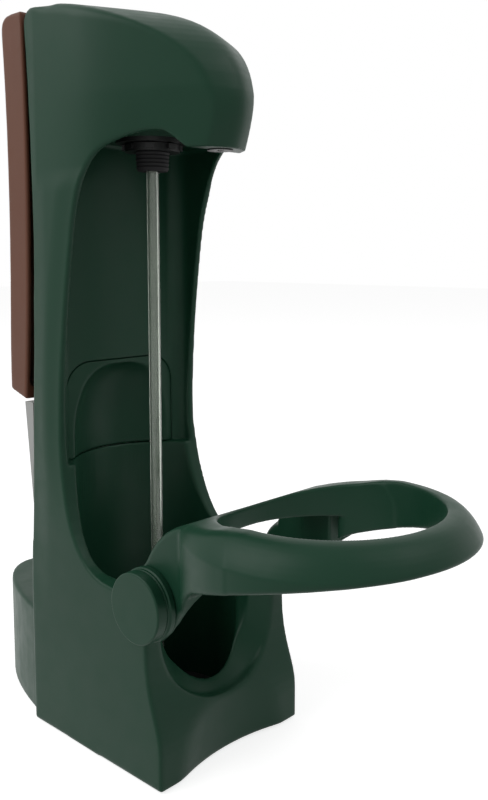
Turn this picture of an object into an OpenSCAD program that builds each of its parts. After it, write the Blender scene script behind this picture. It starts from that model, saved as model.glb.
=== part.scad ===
// Manual cider pourer. A bottle stands in the green housing, the rear lever squeezes a bellows,
// and the air drives the drink up the dip tube to the spout above the glass ring.
// X runs to the right, Y to the rear and Z up. The shapes are drawn about the bottle's axis
// and then moved along Y, so that the origin lies under the middle of the whole object.

/* [Bottle and glass] */
// Diameter of the bottle that the bay takes
bottle_d = 80; // [74:0.5:82]
// Height of the bottle from its base to its lip
bottle_h = 289.5; // [270:0.5:320]
// Diameter of the hole in the glass ring
glass_hole_d = 98; // [80:1:104]

/* [Housing] */
// Width across the side faces of the base
body_w = 94; // [92:0.5:116]
// Width across the side faces of the column and the head
column_w = 89.4; // [88.6:0.2:92]
// Height of the head above the plate that holds the stopper
head_h = 62; // [54:1:76]
// Height of the base block at the front posts
block_h = 89.5; // [84:0.5:94]
// Distance from the bottle's axis to the front of the base
front_reach = 56; // [53:0.5:62]
// Distance from the bottle's axis to the tip of the spout head
head_reach = 62; // [58:0.5:70]
// Distance from the bottle's axis to the rear edge of the base block
rear_reach = 45; // [44.5:0.5:50]
// Distance from the bottle's axis to the nose of the tail
tail_reach = 121; // [100:1:140]
// Height of the tail's flat top
tail_h = 58; // [45:1:62]
// Wall thickness of the housing
wall = 3; // [2.4:0.1:3.4]
// Wall thickness of the round bottle bay
bay_wall = 1.9; // [1.5:0.1:2]
// Clearance between the bottle and the bay
bottle_gap = 1; // [0.6:0.1:1.2]
// Inner width of the niche that the neck stands in
niche_w = 83; // [80:0.5:83.4]
// Distance from the bottle's axis to the niche's back wall
niche_back = 27.5; // [26:0.5:28]
// Thickness of the niche's back wall
niche_wall = 2.5; // [2:0.1:2.6]

/* [Base] */
// Thickness of the rubber feet
foot_h = 1.2; // [1:0.1:3]
// Radius of a rubber foot
foot_r = 7; // [5:0.5:8]
// Thickness of the base plate
plate_t = 2.5; // [2:0.1:4]
// Thickness of the rubber pad under the bottle
pad_t = 1.8; // [1:0.1:4]

/* [Glass ring] */
// Distance from the bottle's axis to the centre of the glass ring
ring_reach = 115.5; // [112:0.5:130]
// Outer diameter of the glass ring
ring_d = 130; // [126:1:136]
// Height of the ring's top lip above the table
ring_top = 138.5; // [134:0.5:144]
// Height of the pivot of the ring's arms
pivot_z = 90; // [88:0.5:92]
// Distance from the bottle's axis to that pivot
pivot_reach = 51; // [49:0.5:54]
// Radius of the arms' round ends
hub_r = 17.3; // [16.5:0.1:18.5]
// Thickness of the arms' flat ends
arm_t = 4.8; // [4:0.1:5.2]
// Radius of a side knob
knob_r = 16.2; // [12:0.1:16.4]
// Length of a side knob outside the housing
knob_len = 10; // [7:0.5:14]
// Radius of the knob's stud
stud_r = 2.5; // [2:0.1:3]

/* [Pump] */
// Width of the lever
lever_w = 87.6; // [84:0.2:88]
// Wall thickness of the lever
lever_wall = 2.6; // [2:0.1:3]
// Height of the lever's lower edge
lever_z = 170.3; // [168:0.1:176]
// Distance from the bottle's axis to the lever's outermost point
lever_reach = 66.2; // [64:0.2:68]
// Radius of the lever's hinge pin
pin_r = 2; // [1.5:0.1:2.5]
// Radius of the bellows
bellows_r = 30; // [24:0.5:32]
// Number of folds in the bellows
folds = 4; // [3:1:5]
// Radius of the return spring's coil
spring_r = 5.5; // [4:0.1:7]
// Diameter of the return spring's wire
wire_d = 1.2; // [0.8:0.1:1.4]
// Number of curls in the return spring
curls = 6; // [4:1:7]

/* [Drink line] */
// Radius of the stopper's finger collar
collar_r = 13.6; // [12:0.1:14]
// Number of grip tabs on the collar
tabs = 8; // [4:1:12]
// Radius of the dip tube
tube_r = 3; // [2.5:0.1:3.5]
// Radius of the spigot that the stopper hangs by
spigot_r = 8; // [7:0.1:8.5]
// Length of the rubber plug in the bottle's mouth
plug_h = 9.3; // [8:0.1:14]
// Radius of the hose that carries the drink
drink_hose_r = 3.2; // [2.6:0.1:3.6]
// Radius of the hose that carries the air
air_hose_r = 2.6; // [2:0.1:3]

/* [Fits] */
// Radial clearance of a running fit
run_gap = 0.05; // [0.02:0.01:0.1]
// Gap between neighbouring mouldings
seam = 0.3; // [0.2:0.05:0.4]
// Radius of the housing screws
screw_r = 1.5; // [1.2:0.1:1.8]

/* [Hidden] */
$fn = 64;

green = [0.16, 0.26, 0.21];
brown = [0.38, 0.24, 0.19];
grey = [0.70, 0.70, 0.68];
black = [0.07, 0.07, 0.07];
steel = [0.62, 0.62, 0.64];
brass = [0.70, 0.58, 0.30];
rubber = [0.12, 0.12, 0.12];
clear = [0.80, 0.82, 0.80];
far = 400;
sides = [-1, 1];

// Levels and places that follow from the sizes above
shift_y = (ring_reach + ring_d / 2 - tail_reach) / 2;
half_w = body_w / 2;
column_half = column_w / 2;
seat_z = foot_h + plate_t + pad_t;
lip_z = seat_z + bottle_h;
collar_h = 3.6;
flange_h = 2;
collar_top = lip_z + collar_h;
under_z = collar_top + seam + flange_h;
top_z = under_z + head_h;
bay_r = bottle_d / 2 + bottle_gap;
shoulder_z = block_h + 61;
niche_z = shoulder_z - 10;
dome_top = shoulder_z + 37;
plate_top = foot_h + plate_t;
skirt_z = under_z - 15;

// The front window: its centre's height and its radius at the outside and the inside
window_z = block_h - 20;
window_out = 38.5;
window_in = 30;

// Extent along X of the ears that the knobs' studs screw into
ear_x = [37.4, half_w - arm_t - 0.5];

// The concave arc between the front feet: radius, depth in the middle, height, and how much
// the radius loses over that height
toe_r = 103.5;
toe_depth = 5.4;
toe_h = 34;
toe_loss = 2.2;

// The pump, from the chassis to the lever
pin_y = lever_reach - 15;
pin_z = top_z - 15;
bellows_z = under_z - 45;
chassis_gap = 4;
chassis_t = 2.5;
chassis_y = niche_back + niche_wall + chassis_gap;
base_y = chassis_y + chassis_t;
chassis_z = [dome_top + 10, under_z];
pad_y = lever_reach - 9.6;
spring_z = bellows_z - bellows_r - 13;
spring_end = lever_reach - 7;
// The pegs clear the coil's straight chords, eight to a curl
spring_peg_r = spring_r * cos(180 / 8) - wire_d / 2 - 0.2;
valve_stem_r = 1.5;
port_x = 8;
port_y = base_y + 6;
valve_z = [bellows_z + bellows_r + 7, bellows_z + bellows_r + 27];

// The drink line's socket, hoses and spout
socket_r = 12;
socket_top = under_z + 20;
barb_top = socket_top + 4;
hose_bend = 10.5;
hose_run = barb_top + 3 + hose_bend;
spigot_top = collar_top + 13;
seal_z = collar_top + 7;
tube_gap = 6.5;
spout_y = head_reach - 14;
bow_angle = 28;
bow_half = 3.3;
spout_r = 4;
spout_top = under_z + 12;

// Screw places. The rubber feet cover the base screws
panel_boss_r = 3.4;
panel_z = [block_h + 26, lever_z - 0.8];
base_points = concat([for (x = sides) [x * (half_w - 9), -front_reach + 10]],
    [for (x = sides) [x * (half_w - 9.5), 33.5]], [[0, tail_reach - 15]]);
cradle_points = [for (x = sides, z = [niche_z + 8, dome_top - 12]) [x * 37.6, z]];
panel_points = [for (x = sides, z = [panel_z[0] + 9, panel_z[1] - 9]) [x * 39.2, z]];
chassis_points = [for (x = sides, z = [chassis_z[0] + 6, chassis_z[1] - 6]) [x * 34, z]];

// Helpers for the outlines: unit vector, quarter turn, curve with four control points, arc
function unit(v) = v / norm(v);
function turned(v) = [v.y, -v.x];
function bend(a, b, c, d, n) = [for (i = [1:n]) let (t = i / n, s = 1 - t)
    s * s * s * a + 3 * s * s * t * b + 3 * s * t * t * c + t * t * t * d];
function arc(c, r, from, to, n) = [for (i = [0:n]) let (a = from + (to - from) * i / n)
    c + r * [cos(a), sin(a)]];

// A closed outline that runs clockwise, moved inwards by d
function inset(p, d) = let (n = len(p)) [for (i = [0:n - 1])
    let (u = unit(turned(p[i] - p[(i + n - 1) % n])), v = unit(turned(p[(i + 1) % n] - p[i])))
    p[i] + d * (u + v) / (1 + u * v)];

// The housing's side view in (Y, Z): up the front, over the head and down the rear
function side_view() = concat(
    [[-front_reach, foot_h], [-front_reach, 18]],
    bend([-front_reach, 18], [-front_reach, 32], [-pivot_reach + 4.5, 40],
        [-pivot_reach + 4.5, block_h - 24], 8),
    [[-pivot_reach + 4.5, block_h - 6]],
    bend([-pivot_reach + 4.5, block_h - 6], [-pivot_reach + 4.5, block_h - 2],
        [-pivot_reach + 7, block_h], [-pivot_reach + 11, block_h], 4),
    [[-20.7, block_h]],
    bend([-20.7, block_h], [6, block_h], [16, block_h + 28.5], [19.5, block_h + 62.5], 12),
    bend([19.5, block_h + 62.5], [20.5, block_h + 95], [14, under_z - 70],
        [9.3, under_z - 44], 8),
    bend([9.3, under_z - 44], [6.3, under_z - 28], [0, under_z - 14], [-10, under_z - 9], 8),
    [[-20, under_z - 4.5], [-29, under_z - 1.5], [-34, under_z - 3.5],
        [-head_reach + 23.5, under_z - 8], [-head_reach + 5.5, under_z - 8]],
    bend([-head_reach + 5.5, under_z - 8], [-head_reach + 1.5, under_z + 1],
        [-head_reach - 2, under_z + 12], [-head_reach + 1.5, under_z + 21], 8),
    bend([-head_reach + 1.5, under_z + 21], [-head_reach + 6, under_z + 38.5],
        [-36, top_z - 7], [0, top_z - 1], 14),
    [[34, top_z]],
    bend([34, top_z], [40, top_z], [44, top_z - 2], [44.3, top_z - 7], 4),
    bend([44.3, top_z - 7], [40.6, top_z - 42], [38.6, block_h + 142],
        [rear_reach - 2.5, block_h + 82], 10),
    [[rear_reach, block_h], [rear_reach, foot_h]]);

// The housing's front view in (X, Z), half of it mirrored: base width, column width, soft top
function front_half() = concat(
    [[half_w, foot_h], [half_w, block_h], [column_half + 0.8, block_h + 110],
        [column_half, under_z - 50], [column_half, top_z - 7]],
    bend([column_half, top_z - 7], [column_half, top_z - 3], [column_half - 3, top_z],
        [column_half - 7, top_z], 4));
function mirrored(p) = concat(p, [for (i = [len(p) - 1:-1:0]) [-p[i].x, p[i].y]]);

// The tail's plan: straight from the block's sides, then a half ellipse to the nose
function tail_plan(d) = let (a = tail_reach - 10 - d, b = half_w - d) concat(
    [[-b, -10], [b, -10]],
    [for (i = [0:24]) let (t = 180 * i / 24) [b * cos(t), 10 + a * pow(sin(t), 1.28)]]);

// A range along X on the right side, or its mirror image on the left
function span(s, a, b) = s > 0 ? [a, b] : [-b, -a];

module along_x(w) {
    rotate([90, 0, 90]) linear_extrude(w, center = true) children();
}

module along_y(w) {
    rotate([90, 0, 0]) linear_extrude(w, center = true) children();
}

module slab(x, y, z) {
    translate([x[0], y[0], z[0]]) cube([x[1] - x[0], y[1] - y[0], z[1] - z[0]]);
}

// A cylinder along X or Y between two values of that axis, centred on the other two
module rod_x(r, x, y, z) {
    translate([x[0], y, z]) rotate([0, 90, 0]) cylinder(r = r, h = x[1] - x[0]);
}

module rod_y(r, x, y, z) {
    translate([x, y[0], z]) rotate([-90, 0, 0]) cylinder(r = r, h = y[1] - y[0]);
}

// A tube or round bar swept along points, with the frame kept square to a fixed side
function path_dir(p, i) = unit(p[min(i + 1, len(p) - 1)] - p[max(i - 1, 0)]);
module sweep(p, r, n, side) {
    rings = [for (i = [0:len(p) - 1]) let (d = path_dir(p, i), u = unit(cross(side(i), d)),
        v = cross(d, u)) for (k = [0:n - 1]) p[i] + r * (cos(360 * k / n) * u + sin(360 * k / n) * v)];
    walls = [for (i = [0:len(p) - 2], k = [0:n - 1]) let (m = (k + 1) % n)
        each [[i * n + k, i * n + m, (i + 1) * n + m], [i * n + k, (i + 1) * n + m, (i + 1) * n + k]]];
    last = (len(p) - 1) * n;
    caps = [for (k = [1:n - 2]) each [[0, k + 1, k], [last, last + k, last + k + 1]]];
    polyhedron(rings, [for (f = concat(walls, caps)) [f[0], f[2], f[1]]]);
}

// The front and top of the head in (Y, Z), closed far away on the other sides
function nose_view() = concat(
    [[-far, under_z - 8], [-head_reach + 5.5, under_z - 8]],
    bend([-head_reach + 5.5, under_z - 8], [-head_reach + 1.5, under_z + 1],
        [-head_reach - 2, under_z + 12], [-head_reach + 1.5, under_z + 21], 8),
    bend([-head_reach + 1.5, under_z + 21], [-head_reach + 6, under_z + 38.5],
        [-36, top_z - 7], [0, top_z - 1], 14),
    [[34, top_z], [far, top_z + 10], [far, -far], [-far, -far]]);

// That outline turned about Z, so that the nose falls away like a ship's bow on one side
module bow_side(s, d) {
    rotate([0, 0, s * bow_angle]) along_x(2 * far) polygon([for (p = inset(nose_view(), d))
        [p.x * cos(bow_angle) - bow_half * sin(bow_angle), p.y]]);
}

// The head narrows from the column's width to the small spout. d moves its sides inwards
// and, so that a hollow leaves no skin under it, its lower faces down.
module head_form(d) {
    intersection() {
        hull() {
            slab([-column_half + d, column_half - d], [-2, rear_reach + 1],
                [skirt_z - 2 * d, top_z + 1]);
            translate([0, -head_reach + d, 0]) along_y(0.1) polygon(mirrored([
                [7 - 1.3 * d, under_z - 8 - 2 * d], [12 - 1.16 * d, under_z + 18],
                [12 - 1.16 * d, top_z + 1]]));
        }
        bow_side(1, d);
        bow_side(-1, d);
    }
}

module below_head() {
    slab([-far, far], [-far, far], [-1, skirt_z]);
}

module outer_form() {
    intersection() {
        along_x(body_w) polygon(side_view());
        along_y(far) polygon(mirrored(front_half()));
        union() {
            below_head();
            head_form(0);
        }
    }
    translate([0, 0, foot_h]) linear_extrude(tail_h - foot_h) polygon(tail_plan(0));
}

// The round bay for the bottle: a cylinder with a rounded shoulder, grown by d
module bay_form(d, z0) {
    neck_r = niche_back - 1;
    shoulder = [for (i = [0:10]) let (t = 90 * i / 10)
        [neck_r + d + (bay_r - neck_r) * cos(t), shoulder_z + (dome_top - shoulder_z + d) * sin(t)]];
    rotate_extrude() polygon(concat([[0, z0], [bay_r + d, z0]], shoulder,
        [[0, dome_top + d]]));
}

// The front window: a round lower edge that opens upwards, wider at the outside, then
// straight through the bay's wall; grown by d
module window_form(d) {
    out_y = -pivot_reach + 3.5;
    in_y = -bay_r + 4;
    end_y = -sqrt(bay_r * bay_r - window_in * window_in) + 0.5;
    translate([0, out_y - 8, window_z]) rotate([-90, 0, 0])
        cylinder(r = window_out + d, h = 8.01);
    translate([0, out_y, window_z]) rotate([-90, 0, 0])
        cylinder(r1 = window_out + d, r2 = window_in + d, h = in_y - out_y);
    rod_y(window_in + d, 0, [in_y, end_y], window_z);
    translate([0, 0, window_z]) linear_extrude(block_h - window_z + 1) polygon(mirrored([
        [window_out + d + 0.5, out_y - 8], [window_out + d + 0.5, out_y],
        [window_in + d, in_y], [window_in + d, end_y]]));
}

// The niche round the bottle's neck: open in front, with thin skirts left under the head
module niche_form() {
    slab([-niche_w / 2, niche_w / 2], [-far, niche_back], [niche_z, skirt_z]);
    intersection() {
        slab([-niche_w / 2, niche_w / 2], [-30, niche_back], [skirt_z - 1, under_z]);
        head_form(wall);
    }
}

// Hollows of the housing, before the bay's own wall is left standing in them
module housing_hollows() {
    inner = inset(side_view(), wall);
    intersection() {
        along_x(2 * (half_w - wall)) polygon(inner);
        union() {
            slab([-far, far], [-far, 34], [0, block_h - wall]);
            slab([-far, far], [24, rear_reach - wall], [0, panel_z[0] - wall]);
        }
    }
    intersection() {
        along_x(2 * (column_half - wall)) polygon(inner);
        head_form(wall);
        union() {
            slab([-far, far], [-far, far], [under_z + wall, far]);
            slab([-far, far], [-far, -31], [under_z - 8, far]);
        }
    }
    slab([-column_half + wall, column_half - wall], [niche_back + niche_wall, 60],
        [panel_z[0] + 3, top_z - wall]);
    translate([0, 0, -1]) linear_extrude(tail_h - wall + 1) polygon(tail_plan(wall));
    slab([-half_w + wall, half_w - wall], [-front_reach + wall, 34], [-1, plate_top + 0.1]);
}

// Walls that stay inside the hollows: the bay, the window's frame, the hub seats and bosses
module kept_walls() {
    bay_form(bay_wall, plate_top);
    intersection() {
        window_form(2.4);
        slab([-far, far], [-far, -20], [plate_top, far]);
    }
    for (s = sides) {
        rod_x(hub_r + 3, span(s, 34, half_w), -pivot_reach, pivot_z);
    }
    for (p = base_points) {
        translate([p.x, p.y, plate_top]) cylinder(r = 4.2, h = block_h + 20);
    }
    for (p = chassis_points) {
        rod_y(3.6, p.x, [niche_back, chassis_y], p.y);
    }
    for (p = panel_points) {
        rod_y(panel_boss_r, p.x, [20, rear_reach - 3.4], p.y);
    }
}

module hub_ears() {
    for (s = sides) {
        rod_x(hub_r - 2.5, span(s, ear_x[0], ear_x[1]), -pivot_reach, pivot_z);
    }
}

module hinge_lugs() {
    for (s = sides) {
        translate([s * 30, 0, 0]) along_x(5) polygon([[30, top_z - wall + 0.5],
            [41, top_z - wall + 0.5], [41, top_z - 8], [pin_y, pin_z + 5], [pin_y + 3, pin_z - 4],
            [pin_y, pin_z - 5], [30, pin_z - 9]]);
        rod_x(5, [s * 30 - 2.5, s * 30 + 2.5], pin_y, pin_z);
    }
}

// The concave arc between the front feet, moved to the rear by d
module toe_arc(d) {
    translate([0, -front_reach - toe_r + toe_depth + d, -0.01])
        cylinder(r1 = toe_r, r2 = toe_r - toe_loss, h = toe_h);
}

// The cradle's outline on the niche's back wall, in (X, Z), grown by d
function cradle_face(d) = let (w = 35 + d, r = 15, t = dome_top + 2 + d) concat(
    [[-w, niche_z - d], [w, niche_z - d]],
    arc([w - r, t - r], r, 0, 90, 8), arc([r - w, t - r], r, 90, 180, 8));

module body_shell() {
    color(green) difference() {
        union() {
            difference() {
                outer_form();
                difference() {
                    housing_hollows();
                    kept_walls();
                }
                niche_form();
                // the sides stay clear above the posts, where the arms' round ends turn
                for (s = sides) {
                    translate([s * (ear_x[1] + 10), 0, 0]) rod_x(hub_r + seam + 0.1, [-10, 10],
                        -pivot_reach, pivot_z);
                }
                window_form(0);
            }
            hub_ears();
            hinge_lugs();
        }
        bay_form(0, -1);
        translate([0, 60 + niche_back - 0.1, 0]) along_y(120) polygon(cradle_face(seam));
        toe_arc(0);
        for (s = sides) {
            rod_x(4, span(s, ear_x[0] - 0.1, ear_x[1] + 0.1), -pivot_reach, pivot_z);
        }
        rod_x(pin_r + run_gap, [-far, far], pin_y, pin_z);
        translate([0, 0, under_z - 1]) cylinder(r = socket_r + seam, h = wall + 2);
        translate([0, -spout_y, under_z - 9]) cylinder(r = spout_r + run_gap, h = 8);
        for (p = base_points) {
            translate([p.x, p.y, 0]) cylinder(r = screw_r, h = plate_top + 14);
        }
        for (p = chassis_points) {
            rod_y(screw_r, p.x, [niche_back + 1.2, far], p.y);
        }
        for (p = panel_points) {
            rod_y(screw_r, p.x, [rear_reach - 12, far], p.y);
        }
        for (p = cradle_points) {
            rod_y(screw_r, p.x, [niche_back + 0.8, far], p.y);
        }
    }
}

// The cradle closes the niche behind the bottle's shoulder
module bottle_cradle() {
    flange = 1.6;
    color(green) difference() {
        union() {
            intersection() {
                union() {
                    bay_form(bay_wall, niche_z);
                    slab([-far, far], [niche_back, niche_back + niche_wall], [0, far]);
                }
                translate([0, 60 + niche_back, 0]) along_y(120) polygon(cradle_face(0));
            }
            difference() {
                translate([0, niche_back + niche_wall + flange / 2, 0]) along_y(flange)
                    polygon(cradle_face(5.6));
                intersection() {
                    bay_form(bay_wall + seam, 0);
                    slab([-far, far], [0, far], [0, niche_z]);
                }
                for (p = panel_points) {
                    rod_y(panel_boss_r + seam, p.x, [0, far], p.y);
                }
            }
        }
        bay_form(0, 0);
        for (p = cradle_points) {
            rod_y(screw_r, p.x, [0, far], p.y);
        }
    }
}

// The light panel is a wedge on the column's rear, proud of it under the lever
module rear_panel() {
    low = panel_z[0];
    high = panel_z[1];
    face = [[rear_reach - 0.4, low], [rear_reach + 5, high]];
    color(grey) difference() {
        along_x(column_w - 0.4) polygon(concat(
            [[rear_reach - 2, low], face[0], face[1], [rear_reach - 2.5 + seam, high]]));
        along_x(column_w - 7) polygon([[0, low - 1], [face[0].x - 1.4, low - 1],
            [face[0].x - 1.3, low], [face[1].x - 1.8, high - 1.8], [0, high - 1.8]]);
        outer_form();
        for (p = panel_points) {
            rod_y(screw_r + run_gap, p.x, [0, far], p.y);
            rod_y(2 * screw_r, p.x, [rear_reach + 0.6, far], p.y);
        }
    }
}

module base_plate() {
    inner = wall + seam;
    color(black) difference() {
        translate([0, 0, foot_h]) union() {
            linear_extrude(plate_t) polygon(tail_plan(inner));
            slab([-half_w + inner, half_w - inner], [-front_reach + inner, 10], [0, plate_t]);
        }
        toe_arc(inner);
        for (p = base_points) {
            translate([p.x, p.y, 0]) cylinder(r = screw_r + run_gap, h = far);
            translate([p.x, p.y, 0]) cylinder(r = 2 * screw_r, h = foot_h + 1.2);
        }
    }
}

module rubber_feet() {
    color(rubber) for (p = base_points) {
        translate([p.x, p.y, 0]) cylinder(r = foot_r, h = foot_h);
    }
}

module bottle_pad() {
    color(rubber) translate([0, 0, plate_top]) difference() {
        cylinder(r = bay_r - seam, h = pad_t);
        translate([0, 0, -1]) cylinder(r = 8, h = pad_t + 2);
    }
}

// A countersunk screw that points up; its head's face is at the bottom
module screw(length) {
    cylinder(r = 2 * screw_r - 0.2, h = 1);
    cylinder(r = screw_r, h = length);
}

module base_screws() {
    color(steel) for (p = base_points) {
        translate([p.x, p.y, foot_h + 0.2]) screw(14);
    }
}

module rear_screws(points, face_y, length) {
    color(steel) for (p = points) {
        translate([p.x, face_y, p.y]) rotate([90, 0, 0]) screw(length);
    }
}

module cradle_screws() {
    rear_screws(cradle_points, niche_back + niche_wall + 2.6, 4.2);
}

module panel_screws() {
    rear_screws(panel_points, rear_reach + 1.6, 9);
}

module chassis_screws() {
    rear_screws(chassis_points, chassis_y + chassis_t + 1, 8);
}

// Side view of the arms in (Y, Z): from the round ends up to the ring's plane
function arm_view() = concat(
    [[-pivot_reach + 0.32 * hub_r, pivot_z + 0.94 * hub_r]],
    bend([-pivot_reach + 0.32 * hub_r, pivot_z + 0.94 * hub_r], [-pivot_reach - 6, ring_top - 11],
        [-pivot_reach - 18, ring_top - 8], [-ring_reach + 20, ring_top - 4], 8),
    [[-ring_reach, ring_top], [-ring_reach - ring_d / 2 - 1, ring_top]],
    [[-ring_reach - ring_d / 2 - 1, ring_top - 12]],
    bend([-ring_reach - ring_d / 2 - 1, ring_top - 12], [-ring_reach - 30, ring_top - 14],
        [-ring_reach, ring_top - 23], [-ring_reach + 20, ring_top - 29], 8),
    bend([-ring_reach + 20, ring_top - 29], [-ring_reach + 29, ring_top - 31],
        [-pivot_reach - 26, pivot_z + 6], [-pivot_reach - 0.94 * hub_r, pivot_z - 0.32 * hub_r], 6),
    [[-pivot_reach, pivot_z]]);

// Plan of the arms: straight at the round ends, then flared to meet the ring
function arm_plan() = mirrored(concat(
    [[half_w, -20], [half_w, -pivot_reach - 18]],
    bend([half_w, -pivot_reach - 18], [half_w + 1, -pivot_reach - 30],
        [ring_d / 2 - 3, -ring_reach + 26], [ring_d / 2, -ring_reach], 8)));

// Section of the ring in (radius, Z): straight hole wall, rounded lip, sloping outer wall
function ring_section() = let (h = glass_hole_d / 2, r = ring_d / 2) concat(
    [[h, pivot_z], [h, ring_top - 1.2], [h + 1.2, ring_top]],
    bend([h + 1.2, ring_top], [h + 8, ring_top], [r - 3, ring_top - 5], [r, ring_top - 12.5], 8),
    [[r, pivot_z]]);

module glass_yoke() {
    color(green) difference() {
        intersection() {
            union() {
                translate([0, -ring_reach, 0]) rotate_extrude($fn = 128) polygon(ring_section());
                difference() {
                    intersection() {
                        linear_extrude(far) polygon(arm_plan());
                        along_y(2 * far) polygon(mirrored([[ring_d / 2 + 1, 0],
                            [ring_d / 2 + 1, ring_top - 10.8], [ring_d / 2 - 8, ring_top]]));
                    }
                    slab([-half_w + arm_t, half_w - arm_t], [-pivot_reach - 12, 0], [0, far]);
                }
            }
            union() {
                along_x(far) polygon(arm_view());
                rod_x(hub_r, [-half_w, half_w], -pivot_reach, pivot_z);
            }
        }
        translate([0, -ring_reach, 0]) cylinder(r = glass_hole_d / 2, h = far, $fn = 128);
        // hollow underside of the ring, as far back as the arms' roots
        translate([0, -ring_reach, 0]) intersection() {
            rotate_extrude($fn = 128)
                polygon([[glass_hole_d / 2 + 2.6, 0], [glass_hole_d / 2 + 2.6, ring_top - 9],
                    [ring_d / 2 - 5, ring_top - 11], [ring_d / 2 - wall, ring_top - 14],
                    [ring_d / 2 - wall, 0]]);
            slab([-far, far], [-far, 34], [0, far]);
        }
        // between the arms only a low web joins the ring
        slab([-half_w + arm_t, half_w - arm_t], [-ring_reach, 0], [0, ring_top - 21]);
        rod_x(stud_r + run_gap, [-far, far], -pivot_reach, pivot_z);
    }
}

// The knob's outline turned about X: hub ring, groove and rounded disc
module knob() {
    base_x = half_w + seam;
    end_x = half_w + knob_len;
    color(green) translate([0, -pivot_reach, pivot_z]) rotate([0, 90, 0]) difference() {
        rotate_extrude() polygon([[0, base_x], [knob_r + 0.7, base_x], [knob_r + 0.7, base_x + 2.6],
            [knob_r, base_x + 3], [knob_r, base_x + 4.2], [knob_r - 0.6, base_x + 4.5],
            [knob_r, base_x + 4.8], [knob_r, end_x - 1], [knob_r - 1, end_x], [0, end_x]]);
        cylinder(r = stud_r, h = end_x - 3);
    }
}

module knob_stud() {
    color(steel) rod_x(stud_r, [ear_x[0] + 0.6, half_w + knob_len - 3], -pivot_reach, pivot_z);
}

module yoke_washers() {
    color(clear) for (s = sides) {
        difference() {
            rod_x(8, span(s, ear_x[1], half_w - arm_t), -pivot_reach, pivot_z);
            rod_x(stud_r + 0.2, [-far, far], -pivot_reach, pivot_z);
        }
    }
}

module pivot_inserts() {
    color(brass) for (s = sides) {
        difference() {
            rod_x(4, span(s, ear_x[0], ear_x[1]), -pivot_reach, pivot_z);
            rod_x(stud_r + run_gap, [-far, far], -pivot_reach, pivot_z);
        }
    }
}

// Side view of the lever in (Y, Z): up its front edge, over the top and down the rear
function lever_view() = concat(
    [[lever_reach - 16, lever_z]],
    bend([lever_reach - 16, lever_z], [45.6, lever_z + 50], [42.6, top_z - 80], [45.7, top_z - 10], 8),
    [[46.2, top_z - 0.5], [lever_reach - 11, top_z - 0.5]],
    bend([lever_reach - 11, top_z - 0.5], [lever_reach - 5, top_z - 0.5],
        [lever_reach - 2.2, top_z - 3], [lever_reach - 2.4, top_z - 9], 5),
    bend([lever_reach - 2.4, top_z - 9], [lever_reach - 6, top_z - 52],
        [lever_reach - 6, lever_z + 65], [lever_reach, lever_z + 5], 10));

module pump_lever() {
    half = lever_w / 2;
    skin = inset(lever_view(), lever_wall);
    last = len(skin) - 1;
    color(brown) difference() {
        union() {
            difference() {
                intersection() {
                    along_x(lever_w) polygon(lever_view());
                    linear_extrude(far) polygon(mirrored(concat([[half, 30], [half, lever_reach - 4]],
                        arc([half - 4, lever_reach - 4], 4, 0, 90, 6))));
                }
                // open towards the column: the inner outline runs out past the front edge
                along_x(lever_w - 2 * lever_wall) polygon(concat([[0, skin[0].y], [0, skin[10].y]],
                    [for (i = [10:last]) skin[i]]));
            }
            for (s = sides) {
                rod_x(4.5, span(s, 33, half - 0.5), pin_y, pin_z);
            }
            rod_y(16, 0, [pad_y + 1, lever_reach - 6], bellows_z);
            rod_y(spring_peg_r, 0, [spring_end - 3, lever_reach - 4.5], spring_z);
            rod_y(8, 0, [spring_end, lever_reach - 4.5], spring_z);
        }
        rod_x(pin_r, [-half + 3, half - 3], pin_y, pin_z);
    }
}

module lever_pin() {
    color(steel) rod_x(pin_r, [-lever_w / 2 + 3, lever_w / 2 - 3], pin_y, pin_z);
}

module pin_clips() {
    color(steel) for (s = sides) {
        difference() {
            rod_x(3.6, span(s, 26.2, 27), pin_y, pin_z);
            rod_x(pin_r, [-far, far], pin_y, pin_z);
        }
    }
}

module push_pad() {
    color(rubber) rod_y(14, 0, [pad_y, pad_y + 1], bellows_z);
}

module pump_chassis() {
    color(grey) difference() {
        union() {
            slab([-38, 38], [chassis_y, base_y], chassis_z);
            rod_y(spring_peg_r, 0, [chassis_y, base_y + 3], spring_z);
        }
        for (p = chassis_points) {
            rod_y(screw_r + run_gap, p.x, [0, far], p.y);
        }
        rod_y(valve_stem_r + run_gap, 0, [0, far], bellows_z);
        for (a = [0:60:300]) {
            rod_y(0.9, 4 * cos(a), [0, far], bellows_z + 4 * sin(a));
        }
    }
}

// The bellows' wall in (radius, length) with a flange at the chassis and a closed end
module bellows() {
    t = 0.9;
    len_b = pad_y - 0.2 - base_y;
    step = (len_b - 2.6) / folds;
    zig = [for (i = [0:2 * folds]) [bellows_r - (i % 2 == 0 ? 5 : 0), 1.2 + i * step / 2]];
    zag = [for (i = [2 * folds:-1:0]) [bellows_r - t * 1.6 - (i % 2 == 0 ? 5 : 0), 1.4 + i * step / 2]];
    color(rubber) translate([0, base_y, bellows_z]) rotate([-90, 0, 0])
        rotate_extrude() polygon(concat([[bellows_r - 8, 0], [bellows_r + 2, 0], [bellows_r + 2, 1.2]],
            zig, [[0, len_b]], [[0, len_b - 1.2]], zag, [[bellows_r - 8, 1.4]]));
}

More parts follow.
